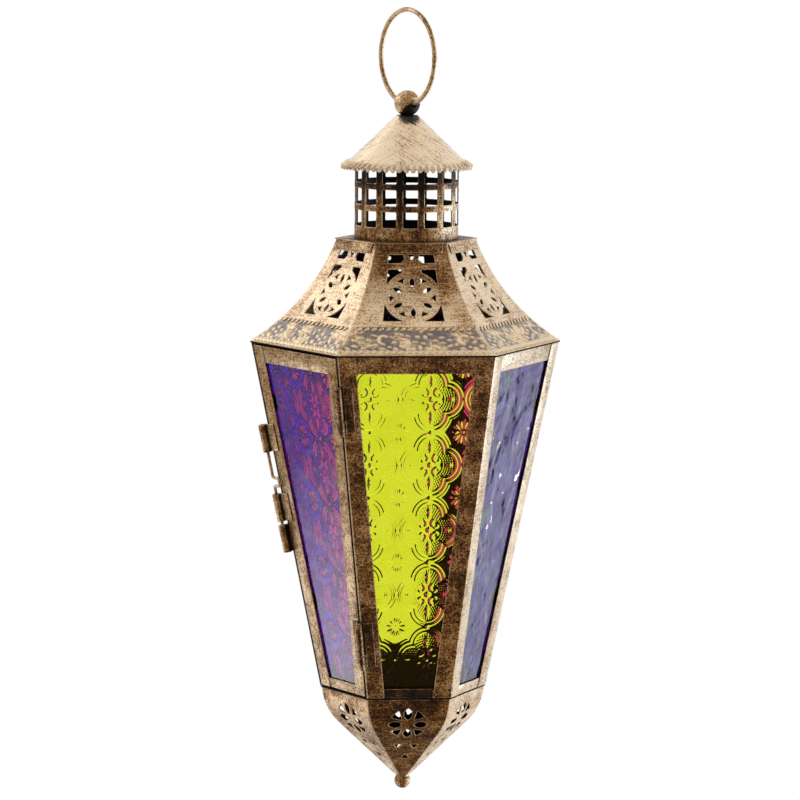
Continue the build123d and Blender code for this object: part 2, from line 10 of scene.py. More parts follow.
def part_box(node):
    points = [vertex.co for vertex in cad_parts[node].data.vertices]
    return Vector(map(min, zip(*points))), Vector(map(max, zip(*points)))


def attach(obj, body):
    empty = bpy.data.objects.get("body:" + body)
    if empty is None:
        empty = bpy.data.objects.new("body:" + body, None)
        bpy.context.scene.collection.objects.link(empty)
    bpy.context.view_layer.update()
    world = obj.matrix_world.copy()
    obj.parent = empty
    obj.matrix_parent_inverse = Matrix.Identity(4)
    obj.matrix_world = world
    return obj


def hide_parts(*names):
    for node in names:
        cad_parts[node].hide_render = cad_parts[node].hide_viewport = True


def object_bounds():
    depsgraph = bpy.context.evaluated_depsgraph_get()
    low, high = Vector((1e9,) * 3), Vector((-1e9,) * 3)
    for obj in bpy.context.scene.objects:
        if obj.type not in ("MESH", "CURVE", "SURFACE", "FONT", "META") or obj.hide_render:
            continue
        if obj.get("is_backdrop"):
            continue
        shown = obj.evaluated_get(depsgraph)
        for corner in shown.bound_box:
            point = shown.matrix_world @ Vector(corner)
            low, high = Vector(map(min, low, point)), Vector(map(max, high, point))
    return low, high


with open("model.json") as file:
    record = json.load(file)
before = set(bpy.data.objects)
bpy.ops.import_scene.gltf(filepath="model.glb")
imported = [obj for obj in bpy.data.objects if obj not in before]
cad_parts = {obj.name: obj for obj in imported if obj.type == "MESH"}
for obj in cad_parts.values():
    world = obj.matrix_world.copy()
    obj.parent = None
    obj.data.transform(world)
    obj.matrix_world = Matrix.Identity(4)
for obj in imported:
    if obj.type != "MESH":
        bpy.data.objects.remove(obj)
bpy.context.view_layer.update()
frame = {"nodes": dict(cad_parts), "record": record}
nodes = frame["nodes"]

# Frame of the body: six folded corner posts, the rails between them and the flat ring on top.
# Brass sheet, folded and soldered, darkened with lacquer and then rubbed back by hand, so the
# gold shows along the edges and in specks across the flats.
mm = 0.001
carried_by = {
    node: body for body, members in frame["record"]["behaviour"]["bodies"].items() for node in members
}
face_names = ("front", "right", "back_right", "back", "back_left", "door")
face_heading = dict(zip(face_names, (270, 330, 30, 90, 150, 210)))
fixed_faces = face_names[:5]


def add_node(tree, kind, inputs=None, **settings):
    """A node with its settings made, and each input linked or set."""
    made = tree.nodes.new(kind)
    for key, value in settings.items():
        setattr(made, key, value)
    for key, value in (inputs or {}).items():
        if isinstance(value, bpy.types.NodeSocket):
            tree.links.new(value, made.inputs[key])
        else:
            made.inputs[key].default_value = value
    return made


def calc(tree, operation, *values):
    return add_node(tree, "ShaderNodeMath", dict(enumerate(values)), operation=operation).outputs[0]


def remap(tree, value, low, high, to_low=0.0, to_high=1.0):
    span = {"Value": value, "From Min": low, "From Max": high, "To Min": to_low, "To Max": to_high}
    return add_node(tree, "ShaderNodeMapRange", span, interpolation_type="SMOOTHSTEP").outputs[0]


def noise(tree, place, scale, detail, rough):
    values = {"Vector": place, "Scale": scale, "Detail": detail, "Roughness": rough}
    return add_node(tree, "ShaderNodeTexNoise", values).outputs[0]


def vector_calc(tree, operation, first, second=None, result=0):
    values = {0: first} if second is None else {0: first, 1: second}
    return add_node(tree, "ShaderNodeVectorMath", values, operation=operation).outputs[result]


def in_millimetres(tree, place):
    return vector_calc(tree, "MULTIPLY", place, (1000, 1000, 1000))


def node_group(name, kind, sockets):
    """An empty group with its named sockets, what is asked of it and what it has to give."""
    group = bpy.data.node_groups.new(name, kind)
    for way, socket_type, values in sockets:
        for label, value in values.items():
            made = group.interface.new_socket(label, in_out=way, socket_type="NodeSocket" + socket_type)
            if value is not None:
                made.default_value = value
    asked, given = (add_node(group, "NodeGroup" + way) for way in ("Input", "Output"))
    return group, asked.outputs, given.inputs


def colour_ramp(tree, value, *stops):
    """The colour at that value on a ramp whose first and last stops lie at 0 and 1."""
    ramp = add_node(tree, "ShaderNodeValToRGB", {"Fac": value})
    elements = ramp.color_ramp.elements
    for place, colour in stops[1:-1]:
        elements.new(place).color = (*colour, 1)
    for end in (0, -1):
        elements[end].color = (*stops[end][1], 1)
    return ramp.outputs[0]


def blend(tree, share, first, second):
    """The first colour, or the second where the share is 1: the node's colour sockets are 6, 7 and 2."""
    colours = {0: share, 6: first, 7: second}
    return add_node(tree, "ShaderNodeMix", colours, data_type="RGBA").outputs[2]


def put_out(group, given, **values):
    for label, value in values.items():
        group.links.new(value, given[label.replace("_", " ")])


finish_sockets = (
    ("INPUT", "Vector", {"Stroke Place": (0, 0, 0)}),
    ("INPUT", "Float", {"Gold Cover": 0.5, "Raised": 0.0, "Recess": 0.0, "Speck": 1.1}),
    ("INPUT", "Float", {"Smudge": 0.6, "Streak": 0.5, "Inside": 0.6, "Edge Width": 0.9 * mm}),
    ("OUTPUT", "Color", {"Color": None}),
    ("OUTPUT", "Float", dict.fromkeys(("Metallic", "Roughness", "Polish", "Height"))),
    ("OUTPUT", "Vector", {"Eased Normal": None}),
)
lacquer, asked, given = node_group("rubbed_lacquer", "ShaderNodeTree", finish_sockets)
coordinates = add_node(lacquer, "ShaderNodeTexCoord")
spot = in_millimetres(lacquer, coordinates.outputs["Object"])
patches = noise(lacquer, spot, 0.1, 3.0, 0.55)
specks = noise(lacquer, spot, 0.5, 6.0, 0.75)
grains = noise(lacquer, spot, 1.25, 3.0, 0.7)
flecks = remap(lacquer, grains, 0.46, 0.34)
flecks = calc(lacquer, "MULTIPLY", flecks, asked["Speck"])
strokes = noise(lacquer, asked["Stroke Place"], 1.0, 4.0, 0.6)
eased = add_node(lacquer, "ShaderNodeBevel", {"Radius": asked["Edge Width"]}, samples=4)
flat = add_node(lacquer, "ShaderNodeNewGeometry").outputs["Normal"]
level = vector_calc(lacquer, "DOT_PRODUCT", eased.outputs[0], flat, "Value")
edge = remap(lacquer, calc(lacquer, "SUBTRACT", 1.0, level), 0.01, 0.16)
from_axis = vector_calc(lacquer, "MULTIPLY", coordinates.outputs["Object"], (1, 1, 0))
from_axis = vector_calc(lacquer, "NORMALIZE", from_axis)
facing = coordinates.outputs["Normal"]
outward = vector_calc(lacquer, "DOT_PRODUCT", facing, from_axis, "Value")
# Faces turned in towards the axis lose gold: painted shade for the inside of the lantern, the underside
# of the cap and the flue, where little light reaches.
inner = remap(lacquer, outward, -0.15, -0.5)
inner = calc(lacquer, "MULTIPLY", inner, asked["Inside"])
# Faces turned to the right and to the door side gain gold: painted light for the brighter light that
# falls on those sides.
lit_sides = (0.85, -0.5, -0.17), (-0.85, -0.5, -0.17)
right_face_light, door_face_light = (
    remap(lacquer, vector_calc(lacquer, "DOT_PRODUCT", facing, side, "Value"), 0.6, 0.97)
    for side in lit_sides
)
# Hollows and creases lose gold: partly dark lacquer left where rubbing can't reach, partly painted shade
# in creases and under parts.
shelter = add_node(lacquer, "ShaderNodeAmbientOcclusion", {"Distance": 3.0 * mm}, samples=4)
crevice_dirt_and_shade = remap(lacquer, shelter.outputs["AO"], 0.8, 0.3)
cover = asked["Gold Cover"]
for value, middle, weight in (
    (specks, 0.5, asked["Speck"]), (grains, 0.5, 1.1), (patches, 0.5, asked["Smudge"]),
    (strokes, 0.5, asked["Streak"]), (flecks, 0.0, -0.5), (edge, 0.0, 0.5), (inner, 0.0, -1.0),
    (crevice_dirt_and_shade, 0.0, -0.75), (right_face_light, 0.0, 0.32), (door_face_light, 0.0, 0.18),
):
    shift = calc(lacquer, "SUBTRACT", value, middle)
    cover = calc(lacquer, "MULTIPLY_ADD", shift, weight, cover)
cover = calc(lacquer, "ADD", cover, asked["Raised"])
gold = remap(lacquer, cover, 0.12, 0.88)
shades = colour_ramp(
    lacquer, gold,
    (0.0, (0.011, 0.007, 0.005)),
    (0.28, (0.125, 0.041, 0.006)),
    (0.6, (0.42, 0.205, 0.05)),
    (1.0, (0.85, 0.64, 0.39)),
)
bare = calc(lacquer, "MULTIPLY", asked["Recess"], remap(lacquer, patches, 0.62, 0.46))
slate = (0.15, 0.135, 0.14, 1)
put_out(
    lacquer, given,
    Color=blend(lacquer, bare, shades, slate),
    Metallic=remap(lacquer, gold, 0.0, 1.0, 0.1, 0.55),
    Roughness=remap(lacquer, gold, 0.0, 1.0, 0.55, 0.36),
    Polish=remap(lacquer, gold, 0.0, 0.7, 0.25, 1.0),
    Eased_Normal=eased.outputs[0],
    Height=calc(lacquer, "MULTIPLY_ADD", gold, 0.6, specks),
)


def blank_material(name):
    made = bpy.data.materials.new(name)
    made.use_nodes = True
    made.node_tree.nodes.clear()
    surface = add_node(made.node_tree, "ShaderNodeBsdfPrincipled")
    leaving = add_node(made.node_tree, "ShaderNodeOutputMaterial")
    made.node_tree.links.new(surface.outputs[0], leaving.inputs["Surface"])
    return made, made.node_tree, surface


def antiqued_brass(
    name, cover, speck=0.6, smudge=0.6, streak=0.3, inside=0.6, gloss=0.15, coat=0.5,
    coat_ior=1.5, bump=0.12, relief=(), fan=0.0, stroke=1.5, brush_from=-9.0,
):
    """Brass under rubbed lacquer. Relief names the attributes for what stands up, or for painted shade,
    and, where there is one, what lies low. Fan is how steeply the brush strokes fall to either side of
    the line that the brush starts from, and stroke is how many of them lie in a millimetre."""
    made, tree, surface = blank_material(name)
    rubbed = add_node(tree, "ShaderNodeGroup", node_tree=lacquer)
    finish = {"Gold Cover": cover, "Speck": speck, "Smudge": smudge, "Streak": streak, "Inside": inside}
    for label, value in finish.items():
        rubbed.inputs[label].default_value = value
    place = in_millimetres(tree, add_node(tree, "ShaderNodeTexCoord").outputs["Object"])
    if fan:
        aside = add_node(tree, "ShaderNodeSeparateXYZ", {0: place})
        fallen = calc(tree, "ABSOLUTE", calc(tree, "SUBTRACT", aside.outputs["X"], brush_from))
        fallen = calc(tree, "MULTIPLY_ADD", fallen, fan, aside.outputs["Z"])
        swept = {0: aside.outputs["X"], 1: aside.outputs["Y"], 2: fallen}
        place = add_node(tree, "ShaderNodeCombineXYZ", swept).outputs[0]
    place = vector_calc(tree, "MULTIPLY", place, (0.1, 0.1, stroke))
    tree.links.new(place, rubbed.inputs["Stroke Place"])
    for label, attribute in zip(("Raised", "Recess"), relief):
        read = add_node(tree, "ShaderNodeAttribute", attribute_name=attribute)
        tree.links.new(read.outputs["Fac"], rubbed.inputs[label])
    for label, socket in (("Color", "Base Color"), ("Metallic", "Metallic"), ("Roughness", "Roughness")):
        tree.links.new(rubbed.outputs[label], surface.inputs[socket])
    grain = {
        "Height": rubbed.outputs["Height"],
        "Normal": rubbed.outputs["Eased Normal"],
        "Strength": bump,
        "Distance": 0.3 * mm,
    }
    tree.links.new(add_node(tree, "ShaderNodeBump", grain).outputs[0], surface.inputs["Normal"])
    tree.links.new(calc(tree, "MULTIPLY", rubbed.outputs["Polish"], coat), surface.inputs["Coat Weight"])
    shine = {"Coat Roughness": 0.35, "Coat IOR": coat_ior, "Specular IOR Level": gloss}
    for label, value in shine.items():
        surface.inputs[label].default_value = value
    return made


def new_piece(name, mesh):
    piece = bpy.data.objects.new(name, mesh)
    bpy.context.scene.collection.objects.link(piece)
    return piece


def mesh_of(shape, mesh):
    """What a shape in hand comes to, in the mesh given or in a new one of that name."""
    mesh = bpy.data.meshes.new(mesh) if isinstance(mesh, str) else mesh
    shape.to_mesh(mesh)
    shape.free()
    return mesh


def settle(piece):
    """Makes what the modifiers give the piece's own mesh."""
    bpy.context.view_layer.update()
    shown = piece.evaluated_get(bpy.context.evaluated_depsgraph_get())
    piece.data = bpy.data.meshes.new_from_object(shown)
    piece.modifiers.clear()
    return piece


def smooth(mesh, crease=35):
    mesh.polygons.foreach_set("use_smooth", np.ones(len(mesh.polygons), bool))
    mesh.set_sharp_from_angle(angle=radians(crease))


def place_piece(piece, material, slot, *stands_for):
    """The piece takes its material, rides on the body of the nodes it stands for and hides them."""
    piece.data.materials.clear()
    piece.data.materials.append(material)
    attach(piece, carried_by[stands_for[0]])
    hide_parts(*stands_for)
    return piece


def eased_copy(node, material, slot, ease=0.14 * mm, crease=35):
    """A merged copy of a solid with its cut edges eased, as filing and rubbing leave them."""
    piece = new_piece(node + "_metal", nodes[node].data.copy())
    shape = bmesh.new()
    shape.from_mesh(piece.data)
    bmesh.ops.remove_doubles(shape, verts=shape.verts, dist=0.001 * mm)
    bmesh.ops.dissolve_limit(shape, angle_limit=radians(0.5), verts=shape.verts, edges=shape.edges)
    mesh_of(shape, piece.data)
    if ease:
        rub = piece.modifiers.new("Eased edges", "BEVEL")
        rub.width, rub.segments, rub.limit_method, rub.angle_limit = ease, 2, "ANGLE", radians(40)
        settle(piece)
    smooth(piece.data, crease)
    return place_piece(piece, material, slot, node)


frame_brass = antiqued_brass("frame_brass", cover=0.44, speck=0.7, smudge=0.8, coat=0.9, gloss=0.08)
corner_names = ("right", "back_right", "back_left", "left", "front_left", "front_right")
for node in (
    *("post_" + corner for corner in corner_names),
    *("top_rail_" + face for face in fixed_faces),
    *("bottom_rail_" + face for face in fixed_faces[1:]),
):
    eased_copy(node, frame_brass, "antiqued_sheet")
# The front bottom rail is darker: painted shade for the shadow it lies in at the foot.
shaded_foot_brass = antiqued_brass("shaded_foot_brass", cover=0.15, speck=0.7)
eased_copy("bottom_rail_front", shaded_foot_brass, "antiqued_sheet")
# The top ring and the other inside parts take a dark finish: painted shade for the inside of the
# lantern.
inner_shade_brass = antiqued_brass("inner_shade_brass", cover=-0.45, gloss=0.03, coat=0.0, bump=0.2)
eased_copy("top_ring", inner_shade_brass, "antiqued_sheet")

# Panes: cast glass in lime, rose and blue, each pressed on one side with a lattice of four-lobed
# medallions between fine flowers; the right one is wavy and veined, with its pressed side in.
# They stand behind the posts and rails, held by small tabs bent over from inside.
pane_wall = 2.0 * mm
pane_step = 0.36 * mm
medallion_pitch = (31.3 * mm, 34.0 * mm)


def cut_sheet(left, right, foot, top, step, inside):
    """Flat points and faces of a finely divided sheet, cut where inside(x, y) passes through zero."""
    columns, rows = ceil((right - left) / step) + 1, ceil((top - foot) / step) + 1
    x, y = np.meshgrid(np.linspace(left, right, columns), np.linspace(foot, top, rows))
    depth = inside(x, y)
    kept = depth > 0
    points = [np.stack((x.ravel(), y.ravel()), 1)]
    count = x.size
    crossing = []
    for axis in (1, 0):
        near = (slice(None), slice(None, -1)) if axis else (slice(None, -1), slice(None))
        far = (slice(None), slice(1, None)) if axis else (slice(1, None), slice(None))
        cut = kept[near] != kept[far]
        share = depth[near][cut] / (depth[near][cut] - depth[far][cut])
        met = [c[near][cut] + share * (c[far][cut] - c[near][cut]) for c in (x, y)]
        points.append(np.stack(met, 1))
        number = np.full(cut.shape, -1)
        number[cut] = count + np.arange(cut.sum())
        count += cut.sum()
        crossing.append(number)
    across, up = crossing
    number = np.arange(x.size).reshape(x.shape)
    around = [number[:-1, :-1], number[:-1, 1:], number[1:, 1:], number[1:, :-1]]
    whole = kept[:-1, :-1] & kept[:-1, 1:] & kept[1:, 1:] & kept[1:, :-1]
    some = kept[:-1, :-1] | kept[:-1, 1:] | kept[1:, 1:] | kept[1:, :-1]
    faces = np.stack([corner[whole] for corner in around], 1).tolist()
    flat_kept = kept.ravel()
    for j, i in zip(*np.nonzero(some & ~whole)):
        corners = [corner[j, i] for corner in around]
        cuts = (across[j, i], up[j, i + 1], across[j + 1, i], up[j, i])
        outline = []
        for corner, cut in zip(corners, cuts):
            if flat_kept[corner]:
                outline.append(int(corner))
            if cut >= 0:
                outline.append(int(cut))
        if len(outline) > 2:
            faces.append(outline)
    mesh = bpy.data.meshes.new("sheet")
    points = np.concatenate(points)
    mesh.from_pydata(np.column_stack((points, np.zeros(len(points)))).tolist(), [], faces)
    shape = bmesh.new()
    shape.from_mesh(mesh)
    bmesh.ops.delete(shape, geom=[v for v in shape.verts if not v.link_faces], context="VERTS")
    bmesh.ops.remove_doubles(shape, verts=shape.verts, dist=step * 0.16)
    return mesh_of(shape, mesh)


def mesh_points(mesh):
    points = np.empty(len(mesh.vertices) * 3)
    mesh.vertices.foreach_get("co", points)
    return points.reshape(-1, 3)


def set_points(mesh, x, y, z):
    mesh.vertices.foreach_set("co", np.stack((x, y, z), 1).ravel())
    mesh.update()


def ridge(distance, width):
    return np.exp(-((distance / width) ** 2))


def pressed_medallions(x, y):
    """Height of the pressed pattern, from 0 to about 1, over a pane."""
    unit = 32.0 / medallion_pitch[0], 32.0 / medallion_pitch[1]
    x, y = x * unit[0], y * unit[1]
    across = x - 32 * np.round(x / 32)
    along = y - 32 * np.round(y / 32)
    a, b = np.abs(across), np.abs(along)
    lobe = np.minimum(np.hypot(a - 7.0, b), np.hypot(a, b - 7.0)) - 8.3
    height = 0.85 * ridge(lobe, 0.62) + 0.7 * ridge(lobe + 1.9, 0.5) + 0.25 * ridge(lobe - 1.5, 0.5)
    height += 0.9 * ridge(np.minimum(np.hypot(a - 16, b), np.hypot(a, b - 16)), 0.75)
    spindle = np.minimum(np.hypot(a / 0.7, (b - 8.6) / 2.2), np.hypot((a - 9.6) / 1.3, b / 0.8))
    height += 1.0 * ridge(spindle, 1.0)
    turn = np.arctan2(b - 3.3, a - 3.1)
    curl = ridge(np.hypot(a - 3.1, b - 3.3) - 1.75, 0.5) * (np.cos(turn - radians(215)) > -0.35)
    height += 0.9 * curl + 0.7 * ridge(a + b, 1.3)
    spread, turn = np.hypot(a, b), np.arctan2(along, across)
    band = np.floor(spread / 1.15)
    beads = np.cos(pi * (spread / 1.15 - band - 0.5)) ** 2
    beads = beads * np.cos(np.maximum(np.round(3.1 * (band + 0.5)), 1) * turn) ** 2
    height += 0.5 * beads * (lobe < -2.9) * (spread > 5.5)
    p, q = 16 - a, 16 - b
    spread, turn = np.hypot(p, q), np.arctan2(q, p)
    petals = np.cos(5 * turn) ** 2 * ridge(spread - 3.6, 1.9)
    height += (0.9 * petals + 0.8 * ridge(spread, 0.8)) * (lobe > 1.0)
    return height


def pane_mesh(node, heading, shift, relief, pressed_inside=False):
    """The pane's pressed face, fitted to the solid's own corners, its sides and other face plain."""
    outward = np.array((cos(radians(heading)), sin(radians(heading)), 0))
    across = np.array((-outward[1], outward[0], 0))
    solid = mesh_points(nodes[node].data)
    levels = solid[:, 2]
    low, high = (solid[np.abs(levels - end) < 0.01 * mm] for end in (levels.min(), levels.max()))
    foot, head = ((part @ outward).max() for part in (low, high))
    half_foot, half_head = (np.abs(part @ across).max() for part in (low, high))
    rise = high[0, 2] - low[0, 2]
    length = hypot(rise, head - foot)
    lean, slope = (head - foot) / length, rise / length
    splay = cos(atan2(half_head - half_foot, length))

    def inside(x, y):
        side = (half_foot + (half_head - half_foot) * y / length - np.abs(x)) * splay
        return np.minimum(side, np.minimum(y, length - y)) + 1e-9

    mesh = cut_sheet(-half_head, half_head, 0, length, pane_step, inside)
    x, y, _ = mesh_points(mesh).T
    height = pressed_medallions(x - shift[0], y - shift[1]) - 0.75
    height = relief * height * np.clip((inside(x, y) - 0.3 * mm) / (1.5 * mm), 0, 1)
    shape = bmesh.new()
    shape.from_mesh(mesh)
    rim = [e for e in shape.edges if e.is_boundary]
    made = bmesh.ops.extrude_edge_only(shape, edges=rim)["geom"]
    back_edges = [g for g in made if isinstance(g, bmesh.types.BMEdge) and g.is_boundary]
    bmesh.ops.contextual_create(shape, geom=back_edges)
    shape.verts.ensure_lookup_table()
    back = np.zeros(len(shape.verts), bool)
    back[len(x):] = True
    mesh_of(shape, mesh)
    x, y, _ = mesh_points(mesh).T
    height = np.where(back, 0.0, np.concatenate((height, np.zeros(len(x) - len(height)))))
    if pressed_inside:
        lift = np.where(back, 0.0, -height - pane_wall)
    else:
        lift = np.where(back, -pane_wall, height)
    reach = foot + lean * y + slope * lift
    level = low[0, 2] + slope * y - lean * lift
    place = outward * reach[:, None] + across * x[:, None]
    flat_map = mesh.uv_layers.new(name="pane")
    corner = np.empty(len(mesh.loops), int)
    mesh.loops.foreach_get("vertex_index", corner)
    flat_map.data.foreach_set("uv", np.stack((x[corner], y[corner]), 1).ravel())
    set_points(mesh, place[:, 0], place[:, 1], level)
    if pressed_inside:
        mesh.flip_normals()
    smooth(mesh, 65)
    return mesh


glass_sockets = (
    ("INPUT", "Color", dict.fromkeys(("Tint", "Deep Tint"), (1, 1, 1, 1))),
    ("OUTPUT", "Color", {"Color": None}),
    ("OUTPUT", "Float", dict.fromkeys(("Roughness", "Veins", "Height"))),
)
cast_glass, asked, given = node_group("cast_glass", "ShaderNodeTree", glass_sockets)
flat_place = add_node(cast_glass, "ShaderNodeUVMap", uv_map="pane").outputs[0]
swirl = in_millimetres(cast_glass, flat_place)
cloud = noise(cast_glass, swirl, 0.05, 2.0, 0.5)
ripple = noise(cast_glass, swirl, 0.06, 2.2, 0.45)
drawn = vector_calc(cast_glass, "MULTIPLY", swirl, (1.0, 0.4, 1.0))
veins = noise(cast_glass, drawn, 0.09, 3.0, 0.6)
veins.node.inputs["Distortion"].default_value = 2.2
grit = noise(cast_glass, swirl, 1.3, 2.0, 0.5)
tinted = remap(cast_glass, cloud, 0.35, 0.7)
put_out(
    cast_glass, given,
    Color=blend(cast_glass, tinted, asked["Tint"], asked["Deep Tint"]),
    Roughness=remap(cast_glass, grit, 0.3, 0.75, 0.02, 0.09),
    Veins=remap(cast_glass, veins, 0.47, 0.75),
    Height=calc(cast_glass, "MULTIPLY_ADD", grit, 0.01, ripple),
)


def pressed_glass(name, tint, deep_tint, wave=0.3 * mm, veined=False):
    made, tree, surface = blank_material(name)
    body = add_node(tree, "ShaderNodeGroup", node_tree=cast_glass)
    body.inputs["Tint"].default_value = (*tint, 1)
    body.inputs["Deep Tint"].default_value = (*deep_tint, 1)
    tree.links.new(body.outputs["Color"], surface.inputs["Base Color"])
    tree.links.new(body.outputs["Roughness"], surface.inputs["Roughness"])
    if veined:
        tree.links.new(body.outputs["Veins"], surface.inputs["Coat Weight"])
    swell = {"Height": body.outputs["Height"], "Strength": 1.0, "Distance": wave}
    tree.links.new(add_node(tree, "ShaderNodeBump", swell).outputs[0], surface.inputs["Normal"])
    surface.inputs["Transmission Weight"].default_value = 1.0
    surface.inputs["IOR"].default_value = 1.47
    return made


lime_glass = pressed_glass("lime_glass", (0.88, 0.91, 0.19), (0.82, 0.87, 0.14))
rose_glass = pressed_glass("rose_glass", (0.78, 0.05, 0.62), (0.7, 0.04, 0.56))
blue_glass = pressed_glass("blue_glass", (0.02, 0.06, 0.44), (0.015, 0.045, 0.36))
wavy_blue_glass = pressed_glass(
    "wavy_blue_glass", (0.12, 0.36, 0.50), (0.05, 0.03, 0.34), wave=1.2 * mm, veined=True
)
pane_glass = {
    "front": (lime_glass, "lime_glass", (8.4 * mm, 155.0 * mm), 0.55 * mm, False),
    "right": (wavy_blue_glass, "blue_glass", (2.0 * mm, 160.0 * mm), 0.4 * mm, True),
    "back_right": (rose_glass, "violet_glass", (5.0 * mm, 150.0 * mm), 0.3 * mm, False),
    "back": (lime_glass, "lime_glass", (-9.0 * mm, 140.0 * mm), 0.3 * mm, False),
    "back_left": (blue_glass, "blue_glass", (4.0 * mm, 152.0 * mm), 0.3 * mm, False),
}
for face, (glass, slot, shift, relief, pressed_inside) in pane_glass.items():
    node = "glass_" + face
    mesh = pane_mesh(node, face_heading[face], shift, relief, pressed_inside)
    place_piece(new_piece(node + "_pressed", mesh), glass, slot, node)

# Glass tabs: narrow tongues of the posts' own sheet, cut and bent over behind each pane.
# Dark with painted shade, as the inside of the lantern lies in shade.
eased_copy("glass_tabs", inner_shade_brass, "inner_sheet", ease=0.1 * mm)

# Floor plate and candle cup: a six-sided plate soldered into the foot of the posts, and a drawn
# cup for one tealight in its middle. Both are dark with painted shade, as the inside of the lantern
# lies in shade.
for node in ("floor_plate", "candle_cup"):
    eased_copy(node, inner_shade_brass, "inner_sheet")

# Base: six pierced panels bent from thin sheet and soldered edge to edge into a cup under the
# floor. Each has a flower of four petals and four wedges, with three small triangles below it.
thin_sheet = 0.6 * mm
panel_step = 0.45 * mm
half_turn = radians(30)
wall = cos(half_turn)
base_bend, base_lean, base_slope = 30.0 * mm, radians(3.0), radians(42.6)
base_radius, base_top, base_end = 41.4 * mm * wall, -343.2 * mm, -388.3 * mm
base_centre = base_radius - base_bend * cos(base_lean), base_top + base_bend * sin(base_lean)
flower_drop = 14.6 * mm
base_arc = base_bend * (base_slope - base_lean)
knee = base_centre[0] + base_bend * cos(base_slope), base_centre[1] - base_bend * sin(base_slope)
base_length = base_arc + (knee[1] - base_end) / cos(base_slope)


def on_base(drop, lift=0.0):
    """Distance from the axis and level of a point at that drop down a base panel."""
    lean = np.minimum(base_lean + drop / base_bend, base_slope)
    run = np.maximum(drop - base_arc, 0)
    radius = base_centre[0] + (base_bend + lift) * np.cos(lean) - run * sin(base_slope)
    level = base_centre[1] - (base_bend + lift) * np.sin(lean) - run * cos(base_slope)
    return radius, level


def turned(x, y, angle):
    """Coordinates in axes that are turned by the angle, with x along the turned direction."""
    return x * cos(angle) + y * sin(angle), y * cos(angle) - x * sin(angle)


def petal_opening(x, y, near, far, width):
    """Positive inside a pointed petal that lies along x, from near to far."""
    half = (far - near) / 2
    bow = (half**2 + (width / 2) ** 2) / width
    return bow - np.hypot(x - near - half, np.abs(y) + bow - width / 2)


def corner_opening(x, y, *points):
    """Positive inside a polygon without hollows, its points in millimetres and anticlockwise."""
    depth = np.full(x.shape, 1.0)
    points = np.array(points) * mm
    for (ax, ay), (bx, by) in zip(points, np.roll(points, -1, 0)):
        length = hypot(bx - ax, by - ay)
        depth = np.minimum(depth, ((bx - ax) * (y - ay) - (by - ay) * (x - ax)) / length)
    return depth


def base_openings(x, drop):
    up = flower_drop - drop
    depth = np.full(x.shape, -1.0)
    for quarter in range(4):
        along, aside = turned(x, up, radians(90 * quarter))
        depth = np.maximum(depth, petal_opening(along, aside, 3.1 * mm, 9.8 * mm, 4.2 * mm))
        along, aside = turned(x, up, radians(90 * quarter + 45))
        wedge = ((4.2, 0), (9.3, -2.8), (9.6, 0), (9.3, 2.8))
        depth = np.maximum(depth, corner_opening(along, aside, *wedge))
    side, tall, pair_drop, lone_drop = 4.2, 3.6, 17.6, 26.0
    top, foot = tall / 2 - pair_drop, -lone_drop - tall / 2
    for spark in (
        ((-1.5 * side, top), (-side, top - tall), (-side / 2, top)),
        ((side / 2, top), (side, top - tall), (1.5 * side, top)),
        ((-side / 2, foot), (side / 2, foot), (0, foot + tall)),
    ):
        depth = np.maximum(depth, corner_opening(x, up, *spark))
    return depth


def base_inside(x, drop):
    side = (on_base(drop)[0] * tan(half_turn) - np.abs(x)) * wall
    outline = np.minimum(side + 1e-9, np.minimum(drop, base_length - drop) + 1e-9)
    return np.minimum(outline, -base_openings(x, drop))


def walled(name, mesh, thickness, crease=40):
    """Gives a sheet its thickness on the inner side and settles it."""
    piece = new_piece(name, mesh)
    wall_of = piece.modifiers.new("Sheet", "SOLIDIFY")
    wall_of.thickness, wall_of.offset = thickness, -1.0
    settle(piece)
    smooth(piece.data, crease)
    return piece


def from_front(face):
    """The turn that brings a front panel to that face."""
    return Matrix.Rotation(radians(face_heading[face] - face_heading["front"]), 4, "Z")


def turned_copies(panel, name, node_start, material, slot):
    """A copy of the front panel for each of the six faces, in place of the panel itself."""
    for face in face_names:
        copy = panel.data.copy()
        copy.transform(from_front(face))
        place_piece(new_piece(name + face, copy), material, slot, node_start + face)
    bpy.data.objects.remove(panel)


flat_panel = cut_sheet(-base_radius, base_radius, 0, base_length, panel_step, base_inside)
across, drop, _ = mesh_points(flat_panel).T
radius, level = on_base(drop)
set_points(flat_panel, across, -radius, level)
flat_panel.flip_normals()
front_base = walled("base_front_sheet", flat_panel, thin_sheet)
base_brass = antiqued_brass("base_brass", cover=0.4, speck=0.4, smudge=0.8, coat=0.5, gloss=0.08)
turned_copies(front_base, "base_sheet_", "base_panel_", base_brass, "antiqued_sheet")

# Base tip: a turned brass ball on a collar, drawn up tight under the six panel ends.
eased_copy("base_finial", base_brass, "antiqued_ball", ease=0)

